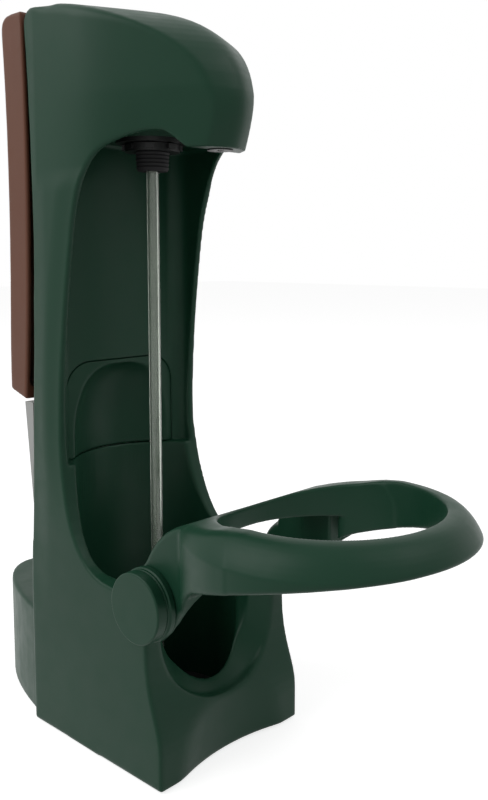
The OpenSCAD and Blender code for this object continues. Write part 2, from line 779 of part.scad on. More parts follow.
// The ring clamps the bellows' flange and carries the air outlet
module bellows_ring() {
    ring_y = base_y + 1.2;
    color(black) difference() {
        union() {
            difference() {
                rod_y(bellows_r + 3.5, 0, [base_y, ring_y + 1.2], bellows_z);
                rod_y(bellows_r + 0.4, 0, [ring_y, far], bellows_z);
                rod_y(bellows_r + 2.1, 0, [0, ring_y], bellows_z);
            }
            slab([port_x - 5, port_x + 5], [base_y, port_y + 5],
                [bellows_z + bellows_r + 2.6, bellows_z + bellows_r + 7]);
        }
        translate([port_x, port_y, 0]) cylinder(r = 1.2, h = far);
    }
}

// A coil of one unbroken wire between its two seats, with straight ends
function coil_points() = let (y0 = base_y + wire_d / 2 + 0.1, y1 = spring_end - wire_d / 2 - 0.1,
    rise = (y1 - y0) / curls) concat(
    [[-wire_d, y0, spring_z + spring_r]],
    [for (i = [0:8 * curls]) let (a = 90 - 360 * i / 8)
        [spring_r * cos(a), y0 + rise * i / 8, spring_z + spring_r * sin(a)]],
    [[wire_d, y1, spring_z + spring_r]]);

module return_spring() {
    color(steel) sweep(coil_points(), wire_d / 2, 6, function(i) [0, 1, 0]);
}

module intake_valve() {
    color(rubber) {
        rod_y(valve_stem_r, 0, [chassis_y - 1, base_y + 0.5], bellows_z);
        rod_y(6, 0, [base_y, base_y + 0.8], bellows_z);
        rod_y(2.4, 0, [chassis_y - 1.4, chassis_y - 0.1], bellows_z);
    }
}

module check_valve() {
    color(clear) translate([port_x, port_y, 0]) {
        translate([0, 0, valve_z[0]]) cylinder(r = 3.2, h = 4);
        translate([0, 0, valve_z[0] + 4]) cylinder(r = 5, h = 12);
        translate([0, 0, valve_z[0] + 16]) cylinder(r = 2, h = 4);
    }
}

// Hoses run in one plane: straight off the socket, over in quarter turns and down
function over(x, y0, y1, z0, z1, r, top) = let (s = sign(y1 - y0), n = 6) concat(
    [[x, y0, z0]],
    [for (i = [0:n]) let (a = 90 * i / n) [x, y0 + s * r * (1 - cos(a)), top - r + r * sin(a)]],
    [for (i = [0:n]) let (a = 90 * i / n) [x, y1 - s * r * (1 - sin(a)), top - r + r * cos(a)]],
    [[x, y1, z1]]);

module air_hose() {
    color(clear) sweep(over(port_x, 0, port_y, barb_top, valve_z[1], hose_bend, hose_run),
        air_hose_r, 10, function(i) [1, 0, 0]);
}

module delivery_hose() {
    color(clear) sweep(over(0, 0, -spout_y, barb_top, spout_top, hose_bend, hose_run),
        drink_hose_r, 10, function(i) [1, 0, 0]);
}

module stopper_socket() {
    color(black) difference() {
        union() {
            translate([0, 0, under_z - flange_h]) cylinder(r = socket_r + 6, h = flange_h);
            translate([0, 0, under_z - flange_h])
                cylinder(r = socket_r, h = socket_top - under_z + flange_h);
            translate([0, 0, socket_top]) cylinder(r = drink_hose_r - 0.6, h = barb_top - socket_top);
            translate([port_x, 0, socket_top]) cylinder(r = air_hose_r - 0.6, h = barb_top - socket_top);
        }
        translate([0, 0, under_z - flange_h - 1]) cylinder(r = spigot_r + run_gap, h = 17);
        translate([0, 0, under_z]) cylinder(r = 1.6, h = far);
        translate([port_x - 1.4, 0, under_z]) cylinder(r = 0.8, h = far);
    }
}

module socket_nut() {
    color(black) translate([0, 0, under_z + wall]) difference() {
        cylinder(r = socket_r + 5, h = 4, $fn = 6);
        translate([0, 0, -1]) cylinder(r = socket_r, h = 6);
    }
}

module stopper_collar() {
    color(black) difference() {
        union() {
            translate([0, 0, lip_z]) cylinder(r = collar_r, h = collar_h);
            for (i = [0:tabs - 1]) {
                rotate([0, 0, 360 * i / tabs]) slab([collar_r - 2, collar_r + 1.3], [-2.2, 2.2],
                    [lip_z + 0.8, collar_top - 0.4]);
            }
            translate([0, 0, lip_z]) cylinder(r = spigot_r, h = spigot_top - lip_z);
        }
        translate([0, 0, lip_z - 1]) cylinder(r = tube_r, h = far);
        translate([0, 0, seal_z]) rotate_extrude() polygon([[spigot_r - 1.5, -0.8],
            [spigot_r + 1, -0.8], [spigot_r + 1, 0.8], [spigot_r - 1.5, 0.8]]);
    }
}

module stopper_seal() {
    color(rubber) translate([0, 0, seal_z]) rotate_extrude()
        translate([spigot_r - 0.73, 0]) circle(r = 0.75, $fn = 24);
}

module stopper_plug() {
    color(rubber) translate([0, 0, lip_z - plug_h]) rotate_extrude() polygon([[tube_r, 0],
        [spigot_r - 0.6, 0], [spigot_r, 0.8], [spigot_r + 1, plug_h], [tube_r, plug_h]]);
}

module dip_tube() {
    color(clear) translate([0, 0, seat_z + tube_gap]) difference() {
        cylinder(r = tube_r, h = spigot_top - seat_z - tube_gap);
        translate([0, 0, -1]) cylinder(r = tube_r - 1, h = far);
    }
}

module spout_nozzle() {
    color(black) translate([0, -spout_y, under_z - 8.6]) difference() {
        union() {
            cylinder(r = spout_r + 2, h = 0.6);
            cylinder(r = spout_r, h = 12);
            cylinder(r = drink_hose_r - 0.6, h = spout_top - under_z + 8.6);
        }
        translate([0, 0, -1]) cylinder(r = 1.8, h = far);
    }
}

// Spring clips round the hoses' four ends
module hose_clips() {
    ends = [[0, 0, barb_top, drink_hose_r], [0, -spout_y, spout_top, drink_hose_r],
        [port_x, 0, barb_top, air_hose_r], [port_x, port_y, valve_z[1], air_hose_r]];
    color(steel) for (e = ends) {
        translate([e[0], e[1], e[2] + 0.3]) difference() {
            cylinder(r = e[3] + 0.8, h = 2);
            translate([0, 0, -1]) cylinder(r = e[3] + run_gap, h = 4);
        }
    }
}

// Every node is drawn about the bottle's axis and moved so that the origin is under the middle
module placed() {
    translate([0, shift_y, 0]) children();
}

placed() body_shell();
placed() bottle_cradle();
placed() rear_panel();
placed() base_plate();
placed() rubber_feet();
placed() bottle_pad();
placed() base_screws();
placed() cradle_screws();
placed() panel_screws();
placed() glass_yoke();
placed() mirror([1, 0, 0]) knob();  // knob_left
placed() knob();  // knob_right
placed() mirror([1, 0, 0]) knob_stud();  // knob_stud_left
placed() knob_stud();  // knob_stud_right
placed() yoke_washers();
placed() pivot_inserts();
placed() pump_lever();
placed() lever_pin();
placed() pin_clips();
placed() push_pad();
placed() pump_chassis();
placed() chassis_screws();
placed() bellows();
placed() bellows_ring();
placed() return_spring();
placed() intake_valve();
placed() check_valve();
placed() air_hose();
placed() stopper_socket();
placed() socket_nut();
placed() stopper_collar();
placed() stopper_seal();
placed() stopper_plug();
placed() dip_tube();
placed() delivery_hose();
placed() spout_nozzle();
placed() hose_clips();
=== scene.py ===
# %% [markdown]
# # A manual cider pourer
# The green housing has a round bay, and a stopper with a dip tube hangs over it. The brown lever
# at the rear squeezes a bellows. Hoses in the head run to the spout at its tip, and a ring on two
# arms stands in front.
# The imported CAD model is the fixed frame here. Hard inner parts keep their CAD meshes and get
# materials, and each moulding that shows is made again with the soft edges of a real one.

# %% Load the frame
import functools
import itertools
import math

import bpy
import numpy as np
from mathutils import Matrix, Vector


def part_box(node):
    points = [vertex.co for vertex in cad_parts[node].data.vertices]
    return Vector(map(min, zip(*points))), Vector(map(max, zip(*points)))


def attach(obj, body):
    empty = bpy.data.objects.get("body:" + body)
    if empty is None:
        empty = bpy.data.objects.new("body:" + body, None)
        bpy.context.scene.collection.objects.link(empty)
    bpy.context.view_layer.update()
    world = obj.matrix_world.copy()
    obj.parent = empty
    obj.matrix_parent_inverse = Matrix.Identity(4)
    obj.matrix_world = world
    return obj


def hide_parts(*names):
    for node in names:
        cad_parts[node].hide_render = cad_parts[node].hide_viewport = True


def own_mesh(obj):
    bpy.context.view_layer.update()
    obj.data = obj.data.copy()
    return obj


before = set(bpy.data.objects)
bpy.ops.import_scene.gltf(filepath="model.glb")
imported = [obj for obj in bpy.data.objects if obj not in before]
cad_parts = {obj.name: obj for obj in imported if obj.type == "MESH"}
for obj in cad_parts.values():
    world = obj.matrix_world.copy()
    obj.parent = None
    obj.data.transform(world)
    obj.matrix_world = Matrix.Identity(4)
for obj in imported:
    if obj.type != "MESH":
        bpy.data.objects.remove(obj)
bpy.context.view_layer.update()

# %% [markdown]
# ## Units and places
# Shapes are worked out in millimetres about the bay's axis, as a mould maker would draw them,
# and moved into the frame in metres at the end. The main sizes are read from the CAD nodes, and
# the smaller ones stand beside the moulding that they belong to.

# %% Sizes from the frame
MM = 0.001
tube_low, tube_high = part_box("dip_tube")
AXIS_Y = (tube_low.y + tube_high.y) / 2 / MM


def corners(node):
    """A node's lowest and highest corners in millimetres about the bay's axis."""
    low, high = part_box(node)
    shift = np.array([0, AXIS_Y, 0])
    return np.array(low) / MM - shift, np.array(high) / MM - shift


shell_low, shell_high = corners("body_shell")
yoke_low, yoke_high = corners("glass_yoke")
stud_low, stud_high = corners("knob_stud_right")
socket_low, socket_high = corners("stopper_socket")
lever_low, lever_high = corners("pump_lever")
pad_low, pad_high = corners("bottle_pad")

HALF_W = shell_high[0]
FOOT_H = shell_low[2]
TOP_Z = shell_high[2]
NOSE_Y = shell_high[1]
UNDER_Z = socket_low[2] + 2
RING_R = yoke_high[0]
RING_Y = yoke_low[1] + RING_R
RING_TOP = yoke_high[2]
PIVOT_Y = (stud_low[1] + stud_high[1]) / 2
PIVOT_Z = (stud_low[2] + stud_high[2]) / 2
BAY_R = pad_high[0] + 0.3
LEVER_HALF = lever_high[0]
print(f"housing {2 * HALF_W:.1f} wide, {TOP_Z:.1f} high; ring {2 * RING_R:.0f} wide at"
      f" {RING_Y:.1f}; pivot {PIVOT_Y:.1f}, {PIVOT_Z:.1f}; bay {BAY_R:.1f}")

# %% [markdown]
# ## The camera
# It stands left of the front, a little above the middle, where the photograph was taken from.
# Its place was found by matching the corners of the base, the knob and the ring.

# %% Camera
IMAGE_W, IMAGE_H = 488, 800
FOCAL_PX = 884.2
CENTRE_PX = (278.9, 355.8)
CAMERA_AT = (-0.293, -0.3459 + AXIS_Y * MM, 0.2438)
LOOK_DOWN, LOOK_RIGHT, LEAN = math.radians(6.4), math.radians(48.3), math.radians(0.2)

camera_data = bpy.data.cameras.new("camera")
camera_data.sensor_width = 36
camera_data.lens = FOCAL_PX / IMAGE_H * camera_data.sensor_width
camera_data.shift_x = (IMAGE_W / 2 - CENTRE_PX[0]) / IMAGE_H
camera_data.shift_y = (CENTRE_PX[1] - IMAGE_H / 2) / IMAGE_H
camera = bpy.data.objects.new("camera", camera_data)
turn = (Matrix.Rotation(-LOOK_RIGHT, 4, "Z") @ Matrix.Rotation(math.pi / 2 - LOOK_DOWN, 4, "X")
        @ Matrix.Rotation(LEAN, 4, "Z"))
camera.matrix_world = Matrix.Translation(CAMERA_AT) @ turn
bpy.context.scene.collection.objects.link(camera)
bpy.context.scene.camera = camera
print(f"lens {camera_data.lens:.1f} mm, shift {camera_data.shift_x:.3f},"
      f" {camera_data.shift_y:.3f}")

# %% [markdown]
# ## Outlines
# A moulding is drawn as a few flat outlines. Each outline has only the points its shape needs:
# straight stretches between points, and curves with four control points.

# %% Outline helpers


def curve(a, b, c, d, n=10):
    """Points on the cubic from a to d that leaves towards b and arrives from c:
    s^3 a + 3 s^2 t b + 3 s t^2 c + t^3 d, with t from 0 to 1 and s = 1 - t. The first point is
    left out, since the stretch before ends there."""
    t = np.linspace(0, 1, n + 1)[1:, None]
    s = 1 - t
    a, b, c, d = (np.asarray(p, float) for p in (a, b, c, d))
    return s**3 * a + 3 * s**2 * t * b + 3 * s * t**2 * c + t**3 * d


def outline(*parts):
    """One closed outline from single points and runs of points."""
    return np.vstack([np.atleast_2d(np.asarray(p, float)) for p in parts])


def ramp(t, low, high):
    """Rises smoothly from 0 at low to 1 at high: 3 u^2 - 2 u^3, where u is
    (t - low) / (high - low), kept between 0 and 1."""
    u = np.clip((t - low) / (high - low), 0, 1)
    return u * u * (3 - 2 * u)


# %% [markdown]
# ## Shapes as distances
# A smooth moulding with hollows, bevels and rounded edges is awkward to build face by face.
# It is easier as a formula: for any point in space, how far is it from the surface, counted
# negative inside the plastic. Joining two shapes takes the smaller distance, cutting one out of
# another takes the larger, and rounding the edge between them is one more term. The shape is
# worked out for a whole grid of points at once, and the surface is where the value is zero.

# %% Distance helpers


def soft_max(a, b, r):
    """What two shapes share, its edge rounded to radius r: the larger distance, but where both
    are within r of the surface, the length of (a + r, b + r) less r."""
    return np.minimum(np.maximum(a, b), -r) + np.hypot(np.maximum(a + r, 0), np.maximum(b + r, 0))


def soft_min(a, b, r):
    """Two shapes joined, with a fillet of radius r in the corner between them."""
    return -soft_max(-a, -b, r)


def cut(a, b, r):
    """Shape a without shape b, its new edge rounded to radius r."""
    return soft_max(a, -b, r)


def common(*distances):
    """What several shapes share, with sharp edges: the largest of their distances."""
    return functools.reduce(np.maximum, distances)


def from_outline(points, u, v):
    """Distance of the points (u, v) from a closed outline, negative inside. For each edge the
    nearest point is the foot of the perpendicular, kept between the edge's ends. A point is
    inside if a ray from it crosses the outline an odd number of times."""
    start = np.asarray(points, float)
    edge = np.roll(start, -1, 0) - start
    u, v = np.broadcast_arrays(u, v)
    du, dv = u[..., None] - start[:, 0], v[..., None] - start[:, 1]
    along = np.clip((du * edge[:, 0] + dv * edge[:, 1]) / (edge**2).sum(1), 0, 1)
    near = np.hypot(du - along * edge[:, 0], dv - along * edge[:, 1]).min(-1)
    spans = (dv >= 0) != (dv - edge[:, 1] >= 0)
    rise = np.where(edge[:, 1] == 0, 1, edge[:, 1])
    inside = (spans & (du < dv * edge[:, 0] / rise)).sum(-1) % 2 == 1
    return np.where(inside, -near, near)


# %% [markdown]
# ## From a formula to a mesh
# The grid is cut into small cubes. Each cube that the surface passes through gets one point, in
# the middle of where its edges are crossed, and four cubes round a crossed edge make one quad.
# The points then slide onto the surface itself, flat stretches lose the quads they don't need,
# and each point's normal is the slope of the formula there, so that reflections run smoothly.

# %% Meshing helpers


def surface_quads(f):
    """Points and quads of the surface f = 0 on a grid, in steps of the grid."""
    inside = f < 0
    n = [s - 1 for s in f.shape]
    corner_sets = list(itertools.product((0, 1), repeat=3))
    unit = np.eye(3, dtype=int)

    def shifted(a, c):
        return a[c[0]:c[0] + n[0], c[1]:c[1] + n[1], c[2]:c[2] + n[2]]

    count = sum(shifted(inside, c).astype(np.uint8) for c in corner_sets)
    cells = np.nonzero((count > 0) & (count < 8))
    number = np.full(n, -1, np.int64)
    number[cells] = np.arange(len(cells[0]))
    base = np.stack(cells, 1)
    total = np.zeros(base.shape)
    hits = np.zeros(len(base))
    for c in corner_sets:
        for axis in range(3):
            if c[axis]:
                continue
            p, q = base + c, base + c + unit[axis]
            fp, fq = f[tuple(p.T)], f[tuple(q.T)]
            crossed = (fp < 0) != (fq < 0)
            share = np.where(crossed, fp / np.where(crossed, fp - fq, 1), 0)
            total += crossed[:, None] * (p + share[:, None] * unit[axis])
            hits += crossed
    quads = []
    for axis in range(3):
        u, v = [k for k in range(3) if k != axis]
        low = np.take(inside, range(n[axis]), axis)
        high = np.take(inside, range(1, n[axis] + 1), axis)
        at = np.stack(np.nonzero(low != high), 1)
        at = at[(at[:, u] > 0) & (at[:, v] > 0) & (at[:, u] < n[u]) & (at[:, v] < n[v])]
        ring = np.stack([number[tuple((at - unit[u] * i - unit[v] * j).T)]
                         for i, j in ((0, 0), (1, 0), (1, 1), (0, 1))], 1)
        leaving = low[tuple(at.T)] ^ (axis == 1)
        quads.append(np.where(leaving[:, None], ring, ring[:, ::-1]))
    return total / hits[:, None], np.vstack(quads)


def read_grid(f, p):
    """The grid's value between its points: the eight neighbours, each weighed by its nearness."""
    cell = np.clip(np.floor(p).astype(int), 0, np.array(f.shape) - 2)
    t = p - cell
    return sum(np.prod(np.where(c, t, 1 - t), 1) * f[tuple((cell + c).T)]
               for c in itertools.product((0, 1), repeat=3))


def slope(f, p):
    """Direction in which the grid's value rises fastest, from differences over one step, and
    the square of its length."""
    g = np.stack([read_grid(f, p + e) - read_grid(f, p - e) for e in np.eye(3)], 1) / 2
    return g, (g**2).sum(1)[:, None]


def settle(f, p, rounds=2):
    """Slides points along the slope until the value there is zero, never by more than a step."""
    for _ in range(rounds):
        g, size = slope(f, p)
        move = read_grid(f, p)[:, None] * g / np.maximum(size, 1e-6)
        p = p - np.clip(move, -1, 1)
    return p


def all_smooth(mesh):
    """Shades every face of a mesh smoothly."""
    mesh.polygons.foreach_set("use_smooth", np.ones(len(mesh.polygons), bool))


def build_mesh(name, points, faces):
    """A mesh from an array of points in millimetres and an array of faces, all smooth."""
    mesh = bpy.data.meshes.new(name)
    sides = faces.shape[1]
    mesh.vertices.add(len(points))
    mesh.vertices.foreach_set("co", ((points + [0, AXIS_Y, 0]) * MM).ravel())
    mesh.loops.add(faces.size)
    mesh.loops.foreach_set("vertex_index", faces.ravel().astype(np.int32))
    mesh.polygons.add(len(faces))
    mesh.polygons.foreach_set("loop_start", np.arange(0, faces.size, sides, dtype=np.int32))
    mesh.update(calc_edges=True)
    all_smooth(mesh)
    return mesh


def link(name, mesh):
    """A new object for a mesh, at the origin."""
    piece = bpy.data.objects.new(name, mesh)
    bpy.context.scene.collection.objects.link(piece)
    return piece


def carve(name, field, low, high, step, most):
    """A piece from a formula field(x, y, z) that is the same on both sides of x = 0. low and high
    are its corners in millimetres, step is the grid's spacing, and no more than about most
    triangles are kept."""
    step *= 1
    half = np.arange(0, high[0] + 3 * step, step)
    y = np.arange(low[1] - 2 * step, high[1] + 3 * step, step)
    z = np.arange(low[2] - 2 * step, high[2] + 3 * step, step)
    f = np.broadcast_to(field(half[:, None, None], y[None, :, None], z[None, None, :]),
                        (len(half), len(y), len(z))) / step
    f = np.concatenate([f[:0:-1], f]).astype(np.float32)
    origin = np.array([-half[-1], y[0], z[0]])
    points, quads = surface_quads(f)
    mesh = build_mesh(name, settle(f, points) * step + origin, quads)
    piece = link(name, mesh)
    thinner = piece.modifiers.new("thinner", "DECIMATE")
    thinner.ratio = min(1, most / (2 * len(quads)))
    graph = bpy.context.evaluated_depsgraph_get()
    thin = bpy.data.meshes.new_from_object(piece.evaluated_get(graph))
    piece.modifiers.clear()
    piece.data = thin
    bpy.data.meshes.remove(mesh)
    co = np.empty(len(thin.vertices) * 3)
    thin.vertices.foreach_get("co", co)
    g, size = slope(f, (co.reshape(-1, 3) / MM - [0, AXIS_Y, 0] - origin) / step)
    all_smooth(thin)
    thin.normals_split_custom_set_from_vertices(g / np.sqrt(np.maximum(size, 1e-9)))
    print(f"{name}: {2 * len(quads)} triangles worked out, {len(thin.polygons)} kept")
    return piece


# %% [markdown]
# ## Turned and swept pieces
# Knobs, feet, seals and bellows are round, so each is a profile carried round an axis. Hoses and
# the spring are a circle carried along a path. Both are one grid of points, a ring for each step.
# The corners of a profile become small arcs, and the true directions of the arcs are kept as
# normals, so that flat faces stay flat in reflections.

# %% Turned and swept helpers


def rounded(points, radius, steps=4, closed=False):
    """Each corner of an outline becomes an arc of that radius that touches both its sides, or as
    much as fits. Also gives the outward direction: to the right of the way along the outline."""
    p = np.asarray(points, float)
    here, before, after = p, np.roll(p, 1, 0), np.roll(p, -1, 0)
    radius = np.broadcast_to(radius, len(p))
    if not closed:
        here, before, after, radius = here[1:-1], before[1:-1], after[1:-1], radius[1:-1]
    d1, d2 = here - before, after - here
    l1, l2 = np.hypot(*d1.T), np.hypot(*d2.T)
    d1, d2 = d1 / l1[:, None], d2 / l2[:, None]
    bend = np.arctan2(d1[:, 0] * d2[:, 1] - d1[:, 1] * d2[:, 0], (d1 * d2).sum(1))
    half = np.maximum(np.tan(np.abs(bend) / 2), 1e-9)
    back = np.minimum(radius * half, 0.48 * np.minimum(l1, l2))
    signed = (back / half * np.sign(bend))[:, None]
    out = np.stack([d1[:, 1], -d1[:, 0]], 1)
    centre = here - d1 * back[:, None] - out * signed
    angle = bend[:, None] * np.linspace(0, 1, steps + 1)
    c, s = np.cos(angle), np.sin(angle)
    facing = np.stack([out[:, :1] * c - out[:, 1:] * s, out[:, :1] * s + out[:, 1:] * c], -1)
    arcs = (centre[:, None] + facing * signed[:, None]).reshape(-1, 2)
    facing = facing.reshape(-1, 2)
    if closed:
        return arcs, facing
    return outline(p[0], arcs, p[-1]), outline(facing[0], facing, facing[-1])


def skin(name, rings, closed=False, facing=None):
    """A closed surface over rings of points, an array (ring, point, xyz). The last ring joins
    the first if closed, and otherwise both shrink to a point. If the volume comes out negative,
    the faces are turned over."""
    index = np.arange(rings.shape[0] * rings.shape[1]).reshape(rings.shape[:2])
    if not closed:
        index[0], index[-1] = index[0, 0], index[-1, 0]
    a, b = (index, np.roll(index, -1, 0)) if closed else (index[:-1], index[1:])
    a2, b2 = np.roll(a, -1, 1), np.roll(b, -1, 1)
    faces = np.stack([a, a2, b2, a, b2, b], -1).reshape(-1, 3)
    faces = faces[(faces != np.roll(faces, 1, 1)).all(1)]
    used, faces = np.unique(faces, return_inverse=True)
    faces = faces.reshape(-1, 3)
    points = rings.reshape(-1, 3)[used]
    p, q, r = points[faces].transpose(1, 0, 2)
    if (p * np.cross(q, r)).sum() < 0:
        faces = faces[:, ::-1]
    mesh = build_mesh(name, points, faces)
    if facing is not None:
        mesh.normals_split_custom_set_from_vertices(facing.reshape(-1, 3)[used])
    return link(name, mesh)


def turned(name, profile, at, axis, radius=0.4, around=96, closed=False):
    """A profile of (r, h) turned about an axis through the point at:
    at + r cos(a) e1 + r sin(a) e2 + h axis, for a full turn of a."""
    p, out = rounded(profile, radius, closed=closed)
    axis = np.asarray(axis, float)
    e1 = np.roll(np.abs(axis), 1)
    e2 = np.cross(axis, e1)
    a = np.linspace(0, 2 * np.pi, around, endpoint=False)[:, None]
    spoke = np.cos(a) * e1 + np.sin(a) * e2
    rings = np.asarray(at) + p[:, :1, None] * spoke + p[:, 1:, None] * axis
    return skin(name, rings, closed, out[:, :1, None] * spoke + out[:, 1:, None] * axis)


def swept(name, path, outer, inner=0, side=(1, 0, 0), around=20):
    """A round bar or a tube along a path: path + r (cos(a) u + sin(a) v), where u and v are square
    to the path. A tube's wall runs out along its outer radius and back along the inner one."""
    path = np.asarray(path, float)
    way = np.gradient(path, axis=0)
    u = np.cross(side, way)
    u /= np.linalg.norm(u, axis=1)[:, None]
    v = np.cross(way, u)
    v /= np.linalg.norm(v, axis=1)[:, None]
    a = np.linspace(0, 2 * np.pi, around, endpoint=False)[:, None]
    spoke = np.cos(a) * u[:, None] + np.sin(a) * v[:, None]
    if inner:
        walls = path[:, None] + outer * spoke, (path[:, None] + inner * spoke)[::-1]
        return skin(name, np.concatenate(walls), closed=True)
    size = np.full(len(path), float(outer))
    size[[0, -1]] = 0
    return skin(name, path[:, None] + size[:, None, None] * spoke)


def own(piece, body, slot, material, *nodes):
    """Says which body a piece moves with, its finish, and any CAD nodes that it stands for."""
    if nodes:
        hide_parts(*nodes)
    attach(piece, body)
    piece.data.materials.append(material)
    return piece


# %% [markdown]
# ## Finishes
# The mouldings are satin plastic with no pattern to see from afar. What makes them look moulded
# is small: a fine grain that breaks up reflections, and a gloss and tone that drift a little
# over the surface. One node group gives all three, and each plastic uses its own amounts.

# %% Node groups


def new_group(name, inputs, outputs):
    """An empty shader node group with number sockets and their starting values."""
    group = bpy.data.node_groups.new(name, "ShaderNodeTree")
    for label, value in inputs.items():
        plug = group.interface.new_socket(label, in_out="INPUT", socket_type="NodeSocketFloat")
        plug.default_value = value
    for label in outputs:
        group.interface.new_socket(label, in_out="OUTPUT", socket_type="NodeSocketFloat")
    return group, group.nodes.new("NodeGroupInput"), group.nodes.new("NodeGroupOutput")


def add(tree, kind, settings=None, **inputs):
    """A node with its settings, and its inputs by name: a socket is linked, a value is set."""
    node = tree.nodes.new("ShaderNode" + kind)
    for key, value in (settings or {}).items():
        setattr(node, key, value)
    for key, value in inputs.items():
        plug = node.inputs[int(key[1:])] if key[0] == "i" and key[1:].isdigit() else \
            node.inputs[key.replace("_", " ")]
        if isinstance(value, bpy.types.NodeSocket):
            tree.links.new(value, plug)
        else:
            plug.default_value = value
    return node


grain, given, result = new_group("moulded_grain", {"Grain Scale": 1200, "Drift Scale": 14},
                                 ["Height", "Tone", "Gloss"])
place = add(grain, "TexCoord").outputs["Object"]
fine = add(grain, "TexNoise", Vector=place, Scale=given.outputs["Grain Scale"], Detail=2.0)
slow = add(grain, "TexNoise", Vector=place, Scale=given.outputs["Drift Scale"], Detail=3.0)
cloud = add(grain, "TexNoise", Vector=place, Scale=90.0, Detail=4.0, Roughness=0.6)
for source, label in ((fine, "Height"), (slow, "Tone"), (cloud, "Gloss")):
    grain.links.new(source.outputs["Fac"], result.inputs[label])

brush, given, result = new_group("drawn_metal", {"Line Scale": 2500}, ["Height", "Gloss"])
place = add(brush, "TexCoord").outputs["Object"]
flat = add(brush, "VectorMath", {"operation": "MULTIPLY"}, i0=place, i1=(1, 1, 0.04))
lines = add(brush, "TexNoise", Vector=flat.outputs["Vector"], Scale=given.outputs["Line Scale"],
            Detail=3.0)
patch = add(brush, "TexNoise", Vector=place, Scale=300.0, Detail=2.0)
brush.links.new(lines.outputs["Fac"], result.inputs["Height"])
brush.links.new(patch.outputs["Fac"], result.inputs["Gloss"])
print("groups:", [g.name for g in bpy.data.node_groups])

# %% Materials


def srgb(r, g, b):
    """A colour written 0 to 255 as a linear one: ((c + 0.055) / 1.055)^2.4 above the toe."""
    c = np.array([r, g, b]) / 255
    return tuple(np.where(c < 0.04045, c / 12.92, ((c + 0.055) / 1.055)**2.4)) + (1.0,)


def finish(name, colour, rough, vary=0.05, grain_scale=1200.0, depth=0.00002, drift=14.0,
           tone=0.05, group=None, **shader):
    """A material with a grain: its colour drifts by tone, its roughness by vary."""
    material = bpy.data.materials.new(name)
    material.use_nodes = True
    tree = material.node_tree
    main = tree.nodes["Principled BSDF"]
    for label, value in shader.items():
        main.inputs[label.replace("_", " ")].default_value = value
    used = tree.nodes.new("ShaderNodeGroup")
    used.node_tree = group or grain
    if used.node_tree == grain:
        used.inputs["Grain Scale"].default_value = grain_scale
        used.inputs["Drift Scale"].default_value = drift
        low = tuple(c * (1 - tone) for c in colour[:3]) + (1.0,)
        high = tuple(min(1, c * (1 + tone)) for c in colour[:3]) + (1.0,)
        share = add(tree, "MapRange", Value=used.outputs["Tone"], From_Min=0.3, From_Max=0.7)
        mix = add(tree, "Mix", {"data_type": "RGBA"}, Factor=share.outputs["Result"])
        mix.inputs[6].default_value, mix.inputs[7].default_value = low, high
        tree.links.new(mix.outputs[2], main.inputs["Base Color"])
    else:
        used.inputs["Line Scale"].default_value = grain_scale
        main.inputs["Base Color"].default_value = colour
    gloss = add(tree, "MapRange", Value=used.outputs["Gloss"], From_Min=0.3, From_Max=0.7,
                To_Min=rough - vary, To_Max=rough + vary)
    tree.links.new(gloss.outputs["Result"], main.inputs["Roughness"])
    bump = add(tree, "Bump", Height=used.outputs["Height"], Strength=0.5, Distance=depth)
    tree.links.new(bump.outputs["Normal"], main.inputs["Normal"])
    return material


green = finish("green_satin", (0.0085, 0.0420, 0.0225, 1), 0.40, Specular_IOR_Level=0.16)
brown = finish("brown_satin", srgb(96, 60, 44), 0.42, Specular_IOR_Level=0.2)
light_grey = finish("grey_satin", srgb(158, 159, 157), 0.45, Specular_IOR_Level=0.25)
dull_grey = finish("grey_moulding", srgb(150, 152, 152), 0.55)
black = finish("black_moulding", srgb(22, 23, 23), 0.45, Specular_IOR_Level=0.4)
rubber = finish("matte_rubber", srgb(26, 26, 27), 0.78, grain_scale=700.0, depth=0.00005,
                Specular_IOR_Level=0.3)
clear = finish("clear_tube", srgb(214, 222, 212), 0.12, vary=0.03, tone=0.02, depth=0.000005,
               Transmission_Weight=0.9, IOR=1.42)
nylon = finish("nylon", srgb(222, 221, 212), 0.42, Subsurface_Weight=0.1)
steel = finish("drawn_steel", srgb(188, 189, 192), 0.27, group=brush, grain_scale=2500.0,
               Metallic=1.0)
brass = finish("turned_brass", srgb(206, 176, 106), 0.25, group=brush, grain_scale=1800.0,
               Metallic=1.0)
print("materials:", len(bpy.data.materials))

# %% Finishes of the pieces that keep their CAD shape
kept = {
    light_grey: ["rear_panel"],
    dull_grey: ["pump_chassis"],
    black: ["base_plate", "bellows_ring", "stopper_socket", "socket_nut", "stopper_collar",
            "spout_nozzle"],
    steel: ["base_screws", "cradle_screws", "panel_screws", "chassis_screws", "knob_stud_left",
            "knob_stud_right", "lever_pin", "pin_clips", "hose_clips"],
    brass: ["pivot_inserts"],
    clear: ["check_valve"],
    nylon: ["yoke_washers"],
}
for material, names in kept.items():
    for name in names:
        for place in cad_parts[name].material_slots:
            place.material = material
print("kept CAD pieces:", sum(map(len, kept.values())))

# %% [markdown]
# ## The housing
# Base, tail, column and head are one moulding. Its side view is one closed outline that runs up
# the front, round the arch over the bay, over the head and down the rear. The width is a
# function of depth and height: widest along a soft crease on the column, a little less at the
# rear where the lever meets it and at the opening's rim, and narrowing towards the spout.

